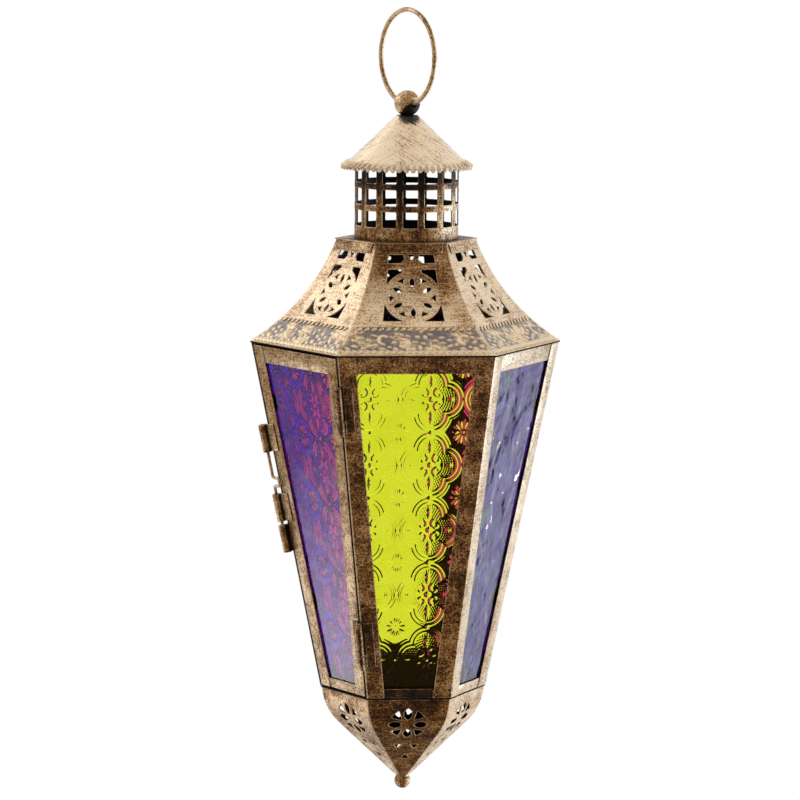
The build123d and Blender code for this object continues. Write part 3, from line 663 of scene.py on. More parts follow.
# Dome: six flared panels of thin sheet, soldered along the corners. Each is pierced with a rosette
# and corner openings, and its lower border is stamped from behind with scrolls and dots, so the
# raised work is rubbed to gold and the ground between stays slate grey.
flare_bend = 104.0 * mm
dome_top_radius, dome_foot_radius = 35.3 * mm * wall, 78.6 * mm * wall
dome_top, dome_foot = -114.1 * mm, -165.6 * mm
chord = hypot(dome_foot_radius - dome_top_radius, dome_top - dome_foot)
chord_lean = atan2(dome_foot_radius - dome_top_radius, dome_top - dome_foot)
flare_sweep = 2 * asin(chord / 2 / flare_bend)
flare_start = chord_lean - flare_sweep / 2
flare_length = flare_bend * flare_sweep
flare_centre = dome_top_radius + flare_bend * cos(flare_start), dome_top + flare_bend * sin(flare_start)
rosette_drop, rosette_radius, petal_middle = 28.4 * mm, 11.6 * mm, 8.5 * mm
border_top, border_foot, seam_lean = 45.4 * mm, 62.2 * mm, radians(24)


def on_flare(drop, lift=0.0):
    """Distance from the axis and level of a point at that drop down a dome panel."""
    lean = flare_start + drop / flare_bend
    radius = flare_centre[0] - (flare_bend - lift) * np.cos(lean)
    return radius, flare_centre[1] - (flare_bend - lift) * np.sin(lean)


def dome_openings(x, drop):
    up = rosette_drop - drop
    spread = np.hypot(x, up)
    depth = np.full(x.shape, -1.0)
    near_rosette = rosette_radius - spread
    petal_side, petal_up = petal_middle * cos(half_turn), petal_middle * sin(half_turn)
    for sixth in range(6):
        along, aside = turned(x, up, radians(60 * sixth + 30))
        depth = np.maximum(depth, petal_opening(along, aside, 6.0 * mm, 11.1 * mm, 2.5 * mm))
        along, aside = turned(x, up, radians(60 * sixth))
        beside = np.hypot(along - petal_side, np.abs(aside) - petal_up)
        wedge = np.minimum(near_rosette, np.minimum(beside - 4.4 * mm, spread - 6.9 * mm))
        depth = np.maximum(depth, np.minimum(wedge, along - np.abs(aside) / tan(radians(60))))
    side = np.abs(x)
    window = ((0, -13.6), (15.3, -13.6), (11.8, 15.5), (0, 15.5))
    frame_window = corner_opening(side, up, *window)
    neck = np.where(up > 0, side - 5.0 * mm, side - 4.0 * mm)
    depth = np.maximum(depth, np.minimum(np.minimum(frame_window, spread - 14.4 * mm), neck))
    crest = ((3.5, 20.6), (5.5, 18.7), (11.8, 18.7), (11.1, 23.2), (4.1, 23.2))
    depth = np.maximum(depth, corner_opening(side, up, *crest))
    point = ((-1.8, 23.2), (0, 19.6), (1.8, 23.2))
    return np.maximum(depth, corner_opening(x, up, *point))


def dome_inside(x, drop):
    side = (on_flare(drop)[0] * tan(half_turn) - np.abs(x)) * cos(seam_lean)
    outline = np.minimum(side, np.minimum(drop, flare_length - drop)) + 1e-9
    return np.minimum(outline, -dome_openings(x, drop))


def stamped_border(x, drop):
    """Height, from 0 to 1, of the hooks, commas and dots stamped in the border."""
    u, v = x / mm, drop / mm
    repeat = 39.7
    cell = u + 15.6 - repeat * np.floor((u + 15.6) / repeat + 0.5)
    height = np.zeros(x.shape)
    for cx, cy, long, broad, lie in (
        (9.0, 50.4, 1.2, 1.0, 80), (8.3, 53.1, 1.7, 0.9, 10), (5.1, 55.4, 1.6, 1.0, -50),
        (12.4, 55.4, 2.2, 0.9, 85), (8.8, 58.1, 1.7, 1.3, 60), (2.8, 58.6, 1.1, 1.0, 0),
        (5.8, 59.6, 1.5, 1.1, 40), (15.8, 55.1, 1.4, 0.9, 10), (16.9, 51.9, 1.5, 1.2, 70),
        (-19.0, 52.1, 1.8, 1.0, 80), (19.5, 56.1, 1.5, 1.0, 20), (-14.1, 54.3, 1.5, 1.1, 10),
        (-11.1, 52.4, 1.5, 1.1, -10), (-10.5, 55.8, 1.6, 0.9, 10), (-7.2, 54.0, 1.3, 1.1, 0),
        (-14.5, 58.1, 2.0, 1.3, 20), (17.9, 58.7, 1.8, 1.0, 80), (14.2, 59.6, 1.7, 1.2, 10),
        (-7.0, 57.8, 1.8, 1.1, 150), (-10.2, 59.4, 1.4, 1.1, 0), (-4.2, 51.0, 2.0, 0.9, 20),
        (-3.9, 57.0, 1.3, 1.0, 90), (-18.0, 59.4, 1.7, 1.1, 30), (-16.6, 50.3, 1.4, 0.9, 0),
        (4.2, 52.2, 1.2, 0.9, 30), (12.2, 51.3, 1.4, 0.9, 20), (12.0, 59.6, 1.3, 1.0, 0),
        (-0.6, 59.6, 1.6, 1.0, 20),
    ):
        aside = cell - cx - repeat * np.round((cell - cx) / repeat)
        along, over = turned(aside, v - cy, radians(lie))
        height = np.maximum(height, np.clip(1.6 - 1.3 * np.hypot(along / long, over / broad), 0, 1))
    angle = np.arctan2(v - 53.9, cell)
    hook = np.clip(1.6 - np.abs(np.hypot(cell, (v - 53.9) * 0.85) - 2.3) / 0.75, 0, 1)
    height = np.maximum(height, hook * (np.cos(angle - radians(20)) < 0.55))
    slant = (u - 0.9 * (v - 61.6)) / 3.3
    rope = np.clip(1.6 - np.hypot((slant - np.round(slant)) * 3.3 / 1.25, (v - 61.8) / 1.2), 0, 1)
    return np.maximum(height, rope) * np.clip((v - 48.6) / 0.5, 0, 1)


def keep_value(mesh, name, values):
    mesh.attributes.new(name, "FLOAT", "POINT").data.foreach_set("value", values)


dome_step = 0.4 * mm
flat_panel = cut_sheet(-dome_foot_radius, dome_foot_radius, 0, flare_length, dome_step, dome_inside)
across, drop, _ = mesh_points(flat_panel).T
stamped = stamped_border(across, drop)
within = np.clip((drop - border_top) / (1.0 * mm), 0, 1)
within *= np.clip((border_foot - drop) / (0.8 * mm), 0, 1)
corner_room = on_flare(drop)[0] * tan(half_turn) - np.abs(across) - 0.8 * mm
corner_room = np.clip(corner_room / (1.2 * mm), 0, 1)
stamped, ground = stamped * corner_room, within * corner_room
stamp_height, ground_depth = 0.55 * mm, 0.25 * mm
radius, level = on_flare(drop, stamped * stamp_height - ground * ground_depth)
set_points(flat_panel, across, -radius, level)
stamp_gold, ground_dark, ground_slate, top_dark, top_run = 0.75, 0.1, 0.85, 0.25, 24.0 * mm
# Each panel loses gold towards its top.
top_darkening = top_dark * np.clip(1 - drop / top_run, 0, 1)
keep_value(flat_panel, "raised", stamped * stamp_gold - ground * ground_dark - top_darkening)
keep_value(flat_panel, "recess", ground * (1 - stamped) * ground_slate)
flat_panel.flip_normals()
front_dome = walled("dome_front_sheet", flat_panel, thin_sheet, 50)
dome_brass = antiqued_brass(
    "dome_brass", cover=0.71, speck=0.3, smudge=0.7, streak=0.6, inside=0.8, coat=0.8,
    relief=("raised", "recess"),
)
turned_copies(front_dome, "dome_sheet_", "dome_panel_", dome_brass, "antiqued_sheet")
# The front panel keeps three smudges of lacquer that the rubbing missed: place, drop, half sizes.
missed = ((2.0, 9.0, 9.0, 13.0), (14.5, 21.0, 5.0, 8.0), (-13.0, 14.0, 4.0, 7.0))
missed_depth = 0.16
front_mesh = bpy.data.objects["dome_sheet_front"].data
x, _, z = mesh_points(front_mesh).T
raised = np.empty(len(x), np.float32)
front_mesh.attributes["raised"].data.foreach_get("value", raised)
for smudge in missed:
    place, fall, broad, tall = np.array(smudge) * mm
    away = np.hypot((x - place) / broad, (dome_top - z - fall) / tall)
    raised -= missed_depth * np.clip(1.4 - away, 0, 1)
front_mesh.attributes["raised"].data.foreach_set("value", raised)

# Dome beading: the slanted beads above the stamped border and along its foot, each raised by one
# blow of a punch from behind, so they follow the curve of the panel.


def shaping_tree(name, counts, sizes):
    """A tree that takes a geometry, these numbers and a material, and gives a geometry."""
    sockets = (
        ("INPUT", "Geometry", {"Geometry": None}),
        ("INPUT", "Int", counts),
        ("INPUT", "Float", sizes),
        ("INPUT", "Material", {"Material": None}),
        ("OUTPUT", "Geometry", {"Geometry": None}),
    )
    return node_group(name, "GeometryNodeTree", sockets)


def own_position(tree):
    """The three parts of each point's place, as a node with three outputs."""
    here = add_node(tree, "GeometryNodeInputPosition").outputs[0]
    return add_node(tree, "ShaderNodeSeparateXYZ", {0: here})


def moved(tree, geometry, *place):
    """The geometry with its points at x, y and z."""
    there = add_node(tree, "ShaderNodeCombineXYZ", dict(enumerate(place))).outputs[0]
    values = {"Geometry": geometry, "Position": there}
    return add_node(tree, "GeometryNodeSetPosition", values).outputs[0]


def turned_about_z(tree, angle):
    euler = add_node(tree, "ShaderNodeCombineXYZ", {2: angle}).outputs[0]
    return add_node(tree, "FunctionNodeEulerToRotation", {0: euler}).outputs[0]


def repeated(tree, points, piece, turn):
    """One realized copy of the piece on each point, each with its own turn."""
    values = {"Points": points, "Instance": piece, "Rotation": turn}
    copies = add_node(tree, "GeometryNodeInstanceOnPoints", values).outputs[0]
    return add_node(tree, "GeometryNodeRealizeInstances", {0: copies}).outputs[0]


def end_tree(tree, geometry, asked, given):
    """Gives the geometry the material that was asked for, and puts it out."""
    values = {"Geometry": geometry, "Material": asked["Material"]}
    painted = add_node(tree, "GeometryNodeSetMaterial", values).outputs[0]
    tree.links.new(painted, given[0])


bead_sizes = {
    "Pitch": 3.0 * mm, "Drop": 47.0 * mm, "Slant": 0.5, "Flare Bend": flare_bend,
    "Flare Start": flare_start, "Centre Radius": flare_centre[0], "Centre Level": flare_centre[1],
}
bead_row, asked, given = shaping_tree("bead_row_on_flare", {"Count": 20}, bead_sizes)
number = add_node(bead_row, "GeometryNodeInputIndex").outputs[0]
middle = calc(bead_row, "MULTIPLY", calc(bead_row, "SUBTRACT", asked["Count"], 1.0), 0.5)
along = calc(bead_row, "MULTIPLY", calc(bead_row, "SUBTRACT", number, middle), asked["Pitch"])
place = add_node(bead_row, "ShaderNodeCombineXYZ", {0: along, 1: asked["Drop"]})
spread = {"Count": asked["Count"], "Position": place.outputs[0]}
points = add_node(bead_row, "GeometryNodePoints", spread).outputs[0]
tilt = turned_about_z(bead_row, asked["Slant"])
beads = repeated(bead_row, points, asked["Geometry"], tilt)
where = own_position(bead_row)
lean = calc(bead_row, "DIVIDE", where.outputs[1], asked["Flare Bend"])
lean = calc(bead_row, "ADD", lean, asked["Flare Start"])
reach = calc(bead_row, "SUBTRACT", asked["Flare Bend"], where.outputs[2])
inward = calc(bead_row, "MULTIPLY", reach, calc(bead_row, "COSINE", lean))
inward = calc(bead_row, "SUBTRACT", inward, asked["Centre Radius"])
height = calc(bead_row, "MULTIPLY", reach, calc(bead_row, "SINE", lean))
height = calc(bead_row, "SUBTRACT", asked["Centre Level"], height)
bent = moved(bead_row, beads, where.outputs[0], inward, height)
end_tree(bead_row, bent, asked, given)


def shaped(mesh, tree, **values):
    """The mesh that a tree makes of this one, with these named inputs."""
    carrier = new_piece(tree.name, mesh)
    run = carrier.modifiers.new(tree.name, "NODES")
    run.node_group = tree
    sockets = {s.name: s.identifier for s in tree.interface.items_tree if s.in_out == "INPUT"}
    for label, value in values.items():
        run[sockets[label.replace("_", " ")]] = value
    made = settle(carrier).data
    bpy.data.objects.remove(carrier)
    return made


def half_bead(width, length, height):
    """The upper half of a small oval dome, sunk a little into the sheet that it is raised from."""
    shape = bmesh.new()
    bmesh.ops.create_uvsphere(shape, u_segments=10, v_segments=6, radius=1.0)
    bmesh.ops.delete(shape, geom=[v for v in shape.verts if v.co.z < -0.4], context="VERTS")
    bmesh.ops.scale(shape, vec=(width, length, height), verts=shape.verts)
    bmesh.ops.reverse_faces(shape, faces=shape.faces)
    return mesh_of(shape, "bead")


bead_brass = antiqued_brass("bead_brass", cover=0.8, speck=0.5)
rows = (
    (47.0 * mm, 3.6 * mm, (0.95 * mm, 1.7 * mm, 0.45 * mm), 0.75),
    (flare_length - 1.0 * mm, 2.1 * mm, (0.8 * mm, 0.9 * mm, 0.45 * mm), 0.0),
)
bead_margin = 1.2 * mm
row_meshes = []
for drop_to, pitch, size, slant in rows:
    room = 2 * (on_flare(drop_to)[0] * tan(half_turn) - bead_margin)
    set_out = {"Count": int(room / pitch), "Pitch": pitch, "Drop": drop_to, "Slant": slant}
    row_meshes.append(shaped(half_bead(*size), bead_row, Material=bead_brass, **set_out))
for face in face_names:
    shape = bmesh.new()
    for mesh in row_meshes:
        shape.from_mesh(mesh)
    made = mesh_of(shape, "dome_beads")
    made.transform(from_front(face))
    smooth(made, 60)
    made.materials.append(bead_brass)
    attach(new_piece("dome_beads_" + face, made), "lantern")

# Top plate and chimney: a flat six-sided plate soldered on the dome's tabs, and a rolled strip of
# sheet with fifteen columns of three punched windows standing on it as the flue.
plate_brass = antiqued_brass("plate_brass", cover=0.4, speck=0.7, smudge=0.8)
eased_copy("top_plate", plate_brass, "antiqued_sheet")
chimney_radius, window_columns = 26.2 * mm, 15
window_size, window_rows, window_band, chimney_foot = (7.5 * mm, 8.0 * mm), 3, 3.0 * mm, 6.8 * mm
chimney_low, chimney_high = (corner.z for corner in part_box("chimney"))
window_corner = 0.3 * mm
bay = 2 * pi * chimney_radius / window_columns


def bay_inside(x, rise):
    depth = np.full(x.shape, 1.0)
    for row in range(window_rows):
        middle = chimney_foot + row * (window_size[1] + window_band) + window_size[1] / 2
        aside = np.abs(x) - window_size[0] / 2 + window_corner
        over = np.abs(rise - middle) - window_size[1] / 2 + window_corner
        outside = np.hypot(np.maximum(aside, 0), np.maximum(over, 0))
        outside = outside + np.minimum(np.maximum(aside, over), 0)
        depth = np.minimum(depth, outside - window_corner)
    return depth


def merged(tree, geometry, distance):
    values = {"Geometry": geometry, "Distance": distance}
    return add_node(tree, "GeometryNodeMergeByDistance", values).outputs[0]


bay_sizes = {"Radius": chimney_radius, "Foot Level": 0.0}
rolled_bays, asked, given = shaping_tree("rolled_bays", {"Bays": window_columns}, bay_sizes)
where = own_position(rolled_bays)
angle = calc(rolled_bays, "DIVIDE", where.outputs[0], asked["Radius"])
side = calc(rolled_bays, "MULTIPLY", calc(rolled_bays, "SINE", angle), asked["Radius"])
reach = calc(rolled_bays, "MULTIPLY", calc(rolled_bays, "COSINE", angle), asked["Radius"])
reach = calc(rolled_bays, "MULTIPLY", reach, -1.0)
level = calc(rolled_bays, "ADD", where.outputs[1], asked["Foot Level"])
one_bay = moved(rolled_bays, asked["Geometry"], side, reach, level)
points = add_node(rolled_bays, "GeometryNodePoints", {"Count": asked["Bays"]}).outputs[0]
number = add_node(rolled_bays, "GeometryNodeInputIndex").outputs[0]
spin = calc(rolled_bays, "MULTIPLY", number, 2 * pi)
spin = turned_about_z(rolled_bays, calc(rolled_bays, "DIVIDE", spin, asked["Bays"]))
ring = repeated(rolled_bays, points, one_bay, spin)
end_tree(rolled_bays, merged(rolled_bays, ring, 0.02 * mm), asked, given)
chimney_brass = antiqued_brass(
    "chimney_brass", cover=0.36, speck=0.7, smudge=0.9, inside=1.0, relief=("raised",)
)
chimney_height, bay_step = chimney_high - chimney_low - 0.2 * mm, 0.55 * mm
bay_mesh = cut_sheet(-bay / 2, bay / 2, 0, chimney_height, bay_step, bay_inside)
across, rise, _ = mesh_points(bay_mesh).T
# The chimney loses gold towards its top: painted shadow of the cap above it. The bars between the
# windows also carry a dark stain down their middles.
cap_shadow, cap_shadow_from, cap_shadow_run, bar_stain = 0.6, 20.0 * mm, 16.0 * mm, 0.12
cap_shadow_and_bar_stain = cap_shadow * np.clip((rise - cap_shadow_from) / cap_shadow_run, 0, 1)
cap_shadow_and_bar_stain += bar_stain * ridge(np.abs(across) - bay / 2, 0.9 * mm) * (rise > chimney_foot)
keep_value(bay_mesh, "raised", -cap_shadow_and_bar_stain)
chimney_mesh = shaped(
    bay_mesh, rolled_bays, Bays=window_columns, Radius=chimney_radius, Foot_Level=chimney_low,
    Material=chimney_brass,
)
chimney = walled("chimney_sheet", chimney_mesh, thin_sheet)
place_piece(chimney, chimney_brass, "antiqued_sheet", "chimney")

# Cap: a cone of sheet spun over a former, brushed in strokes that fall to either side, with a
# crimped rim that sheds the rain. A nut under it holds the ball's stem.
cap_sizes = {
    "Hole Radius": 1.7 * mm, "Top Radius": 5.4 * mm, "Root Radius": 28.4 * mm, "Rim Radius": 33.2 * mm,
    "Top Level": 0.0, "Root Drop": 22.2 * mm, "Rim Drop": 25.6 * mm,
    "Flutes": 60.0, "Flute Depth": 0.95 * mm,
}
fluted_cap, asked, given = shaping_tree("fluted_cap", {}, cap_sizes)
top_end, root_end = 0.07, 0.8
divisions = {"Size X": 1.0, "Size Y": 1.0, "Vertices X": 481, "Vertices Y": 61}
sheet = add_node(fluted_cap, "GeometryNodeMeshGrid", divisions).outputs[0]
where = own_position(fluted_cap)
around = calc(fluted_cap, "MULTIPLY_ADD", where.outputs[0], -2 * pi, -pi / 2)
down = calc(fluted_cap, "ADD", where.outputs[1], 0.5)


def cap_share(low, high):
    """How much of one stretch of the cap's outline has been passed, from its top down."""
    span = {"Value": down, "From Min": low, "From Max": high}
    return add_node(fluted_cap, "ShaderNodeMapRange", span).outputs[0]


def cap_line(*stops):
    """A size that runs in straight stretches over the flat top, the cone and the rim."""
    line = stops[0]
    stretches = cap_share(0, top_end), cap_share(top_end, root_end), cap_share(root_end, 1)
    for share, near, far in zip(stretches, stops, stops[1:]):
        line = calc(fluted_cap, "MULTIPLY_ADD", calc(fluted_cap, "SUBTRACT", far, near), share, line)
    return line


crimp = calc(fluted_cap, "MULTIPLY", around, asked["Flutes"])
crimp_twist = 13.0
crimp = calc(fluted_cap, "MULTIPLY_ADD", down, crimp_twist, crimp)
depth = remap(fluted_cap, down, root_end, 0.9)
depth = calc(fluted_cap, "MULTIPLY", depth, asked["Flute Depth"])
radius = cap_line(*(asked[label + " Radius"] for label in ("Hole", "Top", "Root", "Rim")))
fallen = cap_line(0.0, 0.0, asked["Root Drop"], asked["Rim Drop"])
fallen = calc(fluted_cap, "MULTIPLY_ADD", calc(fluted_cap, "SINE", crimp), depth, fallen)
height = calc(fluted_cap, "SUBTRACT", asked["Top Level"], fallen)
x, y = (
    calc(fluted_cap, "MULTIPLY", radius, calc(fluted_cap, way, around)) for way in ("COSINE", "SINE")
)
cone = merged(fluted_cap, moved(fluted_cap, sheet, x, y, height), 0.01 * mm)
end_tree(fluted_cap, cone, asked, given)
cap_brass = antiqued_brass(
    "cap_brass", cover=0.83, speck=0.25, smudge=0.7, streak=1.5, inside=0.9, coat=1.0, coat_ior=2.0,
    relief=("raised",), fan=0.6, stroke=2.2,
)
cap_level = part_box("roof_cap")[1].z
cap_mesh = bpy.data.meshes.new("cap_cone")
cap_mesh = shaped(cap_mesh, fluted_cap, Top_Level=cap_level, Material=cap_brass)
x, y, _ = mesh_points(cap_mesh).T
# A dark patch on the cap's front, just under the ball: painted shadow of the ball.
ball_shadow_x, ball_shadow_y, ball_shadow_broad, ball_shadow_deep, ball_shadow = 0.8 * mm, -4.2 * mm, 4.4 * mm, 4.6 * mm, 1.6
away = np.hypot((x - ball_shadow_x) / ball_shadow_broad, (y - ball_shadow_y) / ball_shadow_deep)
keep_value(cap_mesh, "raised", -ball_shadow * np.clip(1.35 - away, 0, 1))
cap = walled("cap_sheet", cap_mesh, thin_sheet, 60)
place_piece(cap, cap_brass, "antiqued_sheet", "roof_cap")
plain_steel = antiqued_brass("plain_steel", cover=0.4)
eased_copy("finial_nut", plain_steel, "plain_steel")

# Ball and hanging ring: a turned brass ball with a cross bore, and a ring of bent wire through it
# whose ends are butted and welded, leaving a small lump.
ball_brass = antiqued_brass("ball_brass", cover=0.58, speck=0.4, inside=0.0, relief=("raised",))
ball = eased_copy("finial_ball", ball_brass, "antiqued_ball", ease=0)
ball_low, ball_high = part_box("finial_ball")
# The ball loses gold on its lower front right: painted shade.
shaded_side, shade_depth = np.array((0.5, -0.5, -0.7)), 1.6
toward = (mesh_points(ball.data) - np.array((ball_low + ball_high) / 2)) @ shaded_side
toward = toward / (ball_high.x - ball_low.x) * 2
keep_value(ball.data, "raised", -shade_depth * np.clip((toward - 0.3) / 0.35, 0, 1))
wire_brass = antiqued_brass("wire_brass", cover=0.54, speck=0.5, inside=0.0)


def bent_wire(name, path, gauge, swell, sides=14):
    """A closed ring of round wire along the points of a path, thickened by its swell at each."""
    path = np.array(path)
    ahead, behind = np.roll(path, -1, 0) - path, path - np.roll(path, 1, 0)
    ahead, behind = (step / np.linalg.norm(step, axis=1)[:, None] for step in (ahead, behind))
    along = ahead + behind
    along /= np.linalg.norm(along, axis=1)[:, None]
    side = np.cross(along[0], (0.31, 0.62, 0.72))
    turns = [2 * pi * k / sides for k in range(sides)]
    rings = []
    shape = bmesh.new()
    for point, heading, more in zip(path, along, swell):
        side = side - heading * (side @ heading)
        side /= np.linalg.norm(side)
        other = np.cross(heading, side)
        size = gauge / 2 * (1 + more)
        rings.append([shape.verts.new(point + size * (side * cos(t) + other * sin(t))) for t in turns])
    for low, high in zip(rings, rings[1:] + rings[:1]):
        for k in range(sides):
            shape.faces.new((low[k], low[(k + 1) % sides], high[(k + 1) % sides], high[k]))
    made = mesh_of(shape, name)
    smooth(made, 50)
    return new_piece(name, made)


ring_wire = 2.4 * mm
ring_low, ring_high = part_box("hanging_ring")
ring_middle = (ring_low + ring_high) / 2
ring_radius = (ring_high.z - ring_low.z - ring_wire) / 2
ring_heading = radians(-60)
ring_parts = 120
ring_turns = [2 * pi * k / ring_parts for k in range(ring_parts)]
ring_side, ring_up = np.array((cos(ring_heading), sin(ring_heading), 0)), np.array((0, 0, 1))
ring_path = [
    np.array(ring_middle) + ring_radius * (cos(t) * ring_side + sin(t) * ring_up) for t in ring_turns
]
weld_swell, weld_length = 0.22, 0.05
weld = [weld_swell * (ridge(t, weld_length) + ridge(t - 2 * pi, weld_length)) for t in ring_turns]
ring = bent_wire("ring_wire", ring_path, ring_wire, weld)
place_piece(ring, wire_brass, "antiqued_wire", "hanging_ring")

# Door: a frame of folded sheet round the sixth pane, held on the front left post by two hinges.
# It closes against a narrow strip soldered under the top ring.
for node in ("door_stile_hinge", "door_stile_latch", "door_rail_top", "door_rail_bottom"):
    eased_copy(node, frame_brass, "antiqued_sheet")
# The strip takes the dark inside finish: painted shade that keeps the gap above the door dark.
stop_heading = radians(face_heading["door"])
stop_size, stop_place = (0.8 * mm, 64.0 * mm, 4.0 * mm), (63.8 * mm, 0, -168.4 * mm)
shape = bmesh.new()
bmesh.ops.create_cube(shape, size=1.0)
bmesh.ops.scale(shape, vec=stop_size, verts=shape.verts)
bmesh.ops.translate(shape, vec=stop_place, verts=shape.verts)
bmesh.ops.rotate(shape, matrix=Matrix.Rotation(stop_heading, 3, "Z"), verts=shape.verts)
stop_mesh = mesh_of(shape, "door_stop")
stop_mesh.materials.append(inner_shade_brass)
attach(new_piece("door_stop", stop_mesh), "lantern")
violet_glass = pressed_glass("violet_glass", (0.56, 0.04, 0.84), (0.48, 0.03, 0.78))
door_shift, door_relief = (10.5 * mm, 148.0 * mm), 0.85 * mm
mesh = pane_mesh("door_glass", face_heading["door"], door_shift, door_relief, True)
place_piece(new_piece("door_glass_pressed", mesh), violet_glass, "violet_glass", "door_glass")
eased_copy("door_glass_tabs", inner_shade_brass, "inner_sheet", ease=0.1 * mm)

# Hinges: two pairs of leaves cut from sheet and rolled round a steel pin. The door's barrel takes
# the upper part of the pin and the post's the lower.
hinge_brass = antiqued_brass("hinge_brass", cover=0.3, speck=0.7, coat=0.9, gloss=0.08)
for place in ("upper", "lower"):
    eased_copy("frame_hinge_leaf_" + place, hinge_brass, "antiqued_sheet", ease=0.1 * mm)
    eased_copy("door_hinge_leaf_" + place, hinge_brass, "antiqued_sheet", ease=0.1 * mm)
    eased_copy("hinge_pin_" + place, plain_steel, "plain_steel", ease=0.08 * mm)

# Latch: a wire pin with a square handle, sliding in two rolled guides on the door's edge and
# dropping behind a keeper on the left post.
for node in ("latch_guide_upper", "latch_guide_lower", "latch_keeper"):
    eased_copy(node, frame_brass, "antiqued_sheet", ease=0.1 * mm)
eased_copy("latch_pin", wire_brass, "antiqued_wire", ease=0, crease=50)

# Stage: a pale floor well under the hanging lantern, a white surround and three lamps: a soft one at
# the left, a cool one at the right and a small one for a glint. Four dark warm cards stand for a
# studio's dark sides and a fifth glows in the door's pane; only mirrored and bent rays see them.
floor_half, floor_level, floor_glow = 6.0, -2.2, 0.6
shape = bmesh.new()
bmesh.ops.create_grid(shape, x_segments=1, y_segments=1, size=floor_half)
bmesh.ops.translate(shape, vec=(0, 0, floor_level), verts=shape.verts)
floor_mesh = mesh_of(shape, "floor")
floor = new_piece("floor", floor_mesh)


def mottled(name, scale, low, high, rough):
    """Paint that drifts between two shades."""
    made, tree, surface = blank_material(name)
    place = add_node(tree, "ShaderNodeTexCoord").outputs["Object"]
    shade = colour_ramp(tree, noise(tree, place, scale, 2.0, 0.5), (0.0, low), (1.0, high))
    tree.links.new(shade, surface.inputs["Base Color"])
    surface.inputs["Roughness"].default_value = rough
    return made, tree, surface


floor_paint, tree, surface = mottled("floor_paint", 3.0, (0.66, 0.66, 0.66), (0.7, 0.7, 0.7), 0.9)
surface.inputs["Emission Color"].default_value = (1, 1, 1, 1)


def seen_direct(tree):
    """1 for what the camera sees, straight, mirrored or through glass, and 0 for other light."""
    seen = add_node(tree, "ShaderNodeLightPath")
    direct = calc(tree, "MAXIMUM", seen.outputs["Is Camera Ray"], seen.outputs["Is Glossy Ray"])
    return calc(tree, "MAXIMUM", direct, seen.outputs["Is Transmission Ray"])


shining = calc(tree, "MULTIPLY", seen_direct(tree), floor_glow)
tree.links.new(shining, surface.inputs["Emission Strength"])
floor_mesh.materials.append(floor_paint)
floor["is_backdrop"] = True

card_paint = mottled("card_paint", 1.5, (0.17, 0.085, 0.03), (0.25, 0.13, 0.048), 1.0)[0]
glow_paint, tree, surface = blank_material("glow_paint")
surface.inputs["Base Color"].default_value = (0, 0, 0, 1)
surface.inputs["Specular IOR Level"].default_value = 0.0
glow_from, glow_to, card_glow = -0.69, -0.85, 3.3
place = add_node(tree, "ShaderNodeTexCoord").outputs["Object"]
fall = add_node(tree, "ShaderNodeSeparateXYZ", {0: place}).outputs["Z"]
span = {"Value": fall, "From Min": glow_from, "From Max": glow_to}
fall = add_node(tree, "ShaderNodeMapRange", span).outputs[0]
shade = colour_ramp(
    tree, fall, (0.0, (0.17, 0.16, 0.15)), (0.22, (0.34, 0.335, 0.33)), (1.0, (1, 1, 1))
)
tree.links.new(shade, surface.inputs["Emission Color"])
surface.inputs["Emission Strength"].default_value = card_glow
lantern_middle = Vector((0, 0, -0.2))
card_reach, glow_reach, card_rows, card_columns = 1.6, 1.55, 15, 17


def bearing(turn, rise):
    """The direction at that turn from the front and that rise above the level."""
    return Vector((sin(turn) * cos(rise), -cos(turn) * cos(rise), sin(rise)))


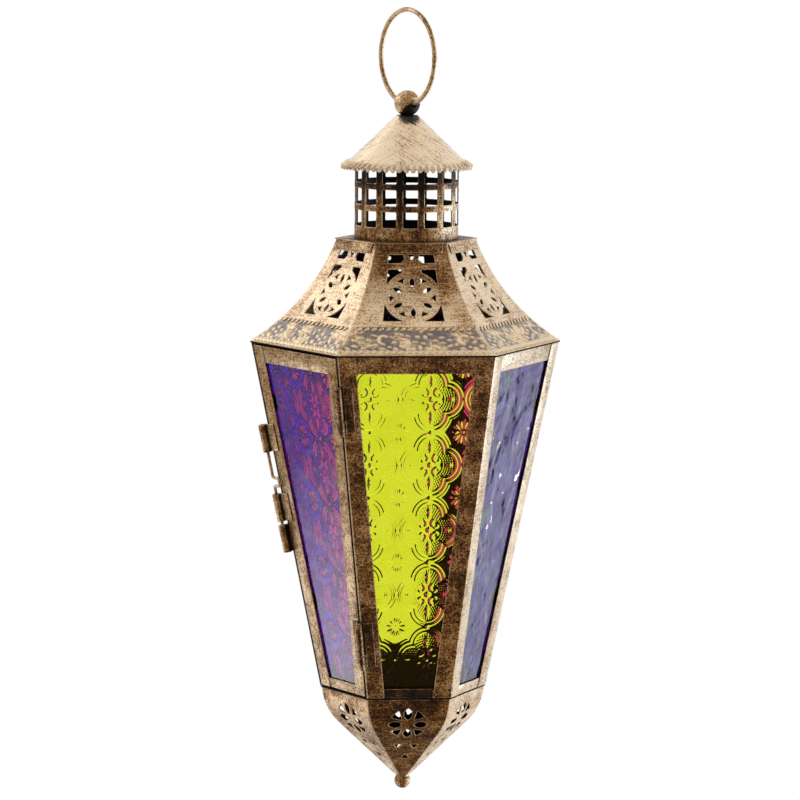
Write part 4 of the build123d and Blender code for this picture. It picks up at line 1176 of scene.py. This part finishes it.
for name, paint, reach, (turn_from, turn_to), (rise_from, rise_to) in (
    ("front_card", card_paint, card_reach, (-66, 58), (-80, 62)),
    ("foot_card", card_paint, card_reach, (-180, 180), (-89.5, -70)),
    ("right_card", card_paint, card_reach, (108, 123), (-34, 12)),
    ("left_card", card_paint, card_reach, (-150, -66), (-18.5, 8)),
    ("pane_card", glow_paint, glow_reach, (-128, -110), (-29, -9)),
):
    shape = bmesh.new()
    card_grid = []
    for rise in np.radians(np.linspace(rise_from, rise_to, card_rows)):
        turns = np.radians(np.linspace(turn_from, turn_to, card_columns))
        card_grid.append([shape.verts.new(lantern_middle + reach * bearing(t, rise)) for t in turns])
    for low, high in zip(card_grid, card_grid[1:]):
        for k in range(len(low) - 1):
            shape.faces.new((low[k], high[k], high[k + 1], low[k + 1]))
    card_mesh = mesh_of(shape, name)
    card_mesh.materials.append(paint)
    card = new_piece(name, card_mesh)
    for seen_by in ("visible_camera", "visible_diffuse", "visible_shadow"):
        setattr(card, seen_by, False)
    card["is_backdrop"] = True

world = bpy.data.worlds.new("studio")
bpy.context.scene.world = world
world.use_nodes = True
tree = world.node_tree
tree.nodes.clear()
light_given, more_if_seen = 0.8, 0.2
strength = calc(tree, "MULTIPLY_ADD", seen_direct(tree), more_if_seen, light_given)
glow = add_node(tree, "ShaderNodeBackground", {"Color": (1, 1, 1, 1), "Strength": strength})
tree.links.new(glow.outputs[0], add_node(tree, "ShaderNodeOutputWorld").inputs["Surface"])

for name, spot, size, power, tone in (
    ("left_lamp", (-1.3, 0.9, 0.75), 1.0, 4.0, (1.0, 1.0, 1.0)),
    ("right_lamp", (1.35, 0.25, -0.42), 0.7, 6.9, (0.52, 0.72, 1.0)),
    ("glint_lamp", (1.18, 1.18, -0.70), 0.045, 0.12, (1.0, 1.0, 1.0)),
):
    lamp = bpy.data.lights.new(name, "AREA")
    lamp.energy, lamp.size, lamp.color = power, size, tone
    holder = new_piece(name, lamp)
    holder.location = spot
    holder.rotation_mode = "QUATERNION"
    holder.rotation_quaternion = (lantern_middle - Vector(spot)).to_track_quat("-Z", "Y")
    holder.visible_camera = False

# Camera: level with the middle of the lantern and well back, a little to its left and above.
aim, distance = Vector((0, 0, -0.196)), 2.2896
rise, turn, roll = radians(7.17), radians(-4.52), radians(0.414)
back = bearing(turn, rise)
lens = bpy.data.cameras.new("camera")
lens.lens, lens.sensor_width = 203.5, 36.0
lens.shift_x, lens.shift_y = -0.006375, 0.000075
lens.clip_start, lens.clip_end = 0.05, 50.0
camera = new_piece("camera", lens)
camera.rotation_mode = "QUATERNION"
camera.location = aim + back * distance
level_view = (-back).to_track_quat("-Z", "Y")
camera.rotation_quaternion = level_view @ Matrix.Rotation(roll, 4, "Z").to_quaternion()
bpy.context.scene.camera = camera
bpy.context.scene.view_settings.view_transform = "Standard"

low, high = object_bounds()
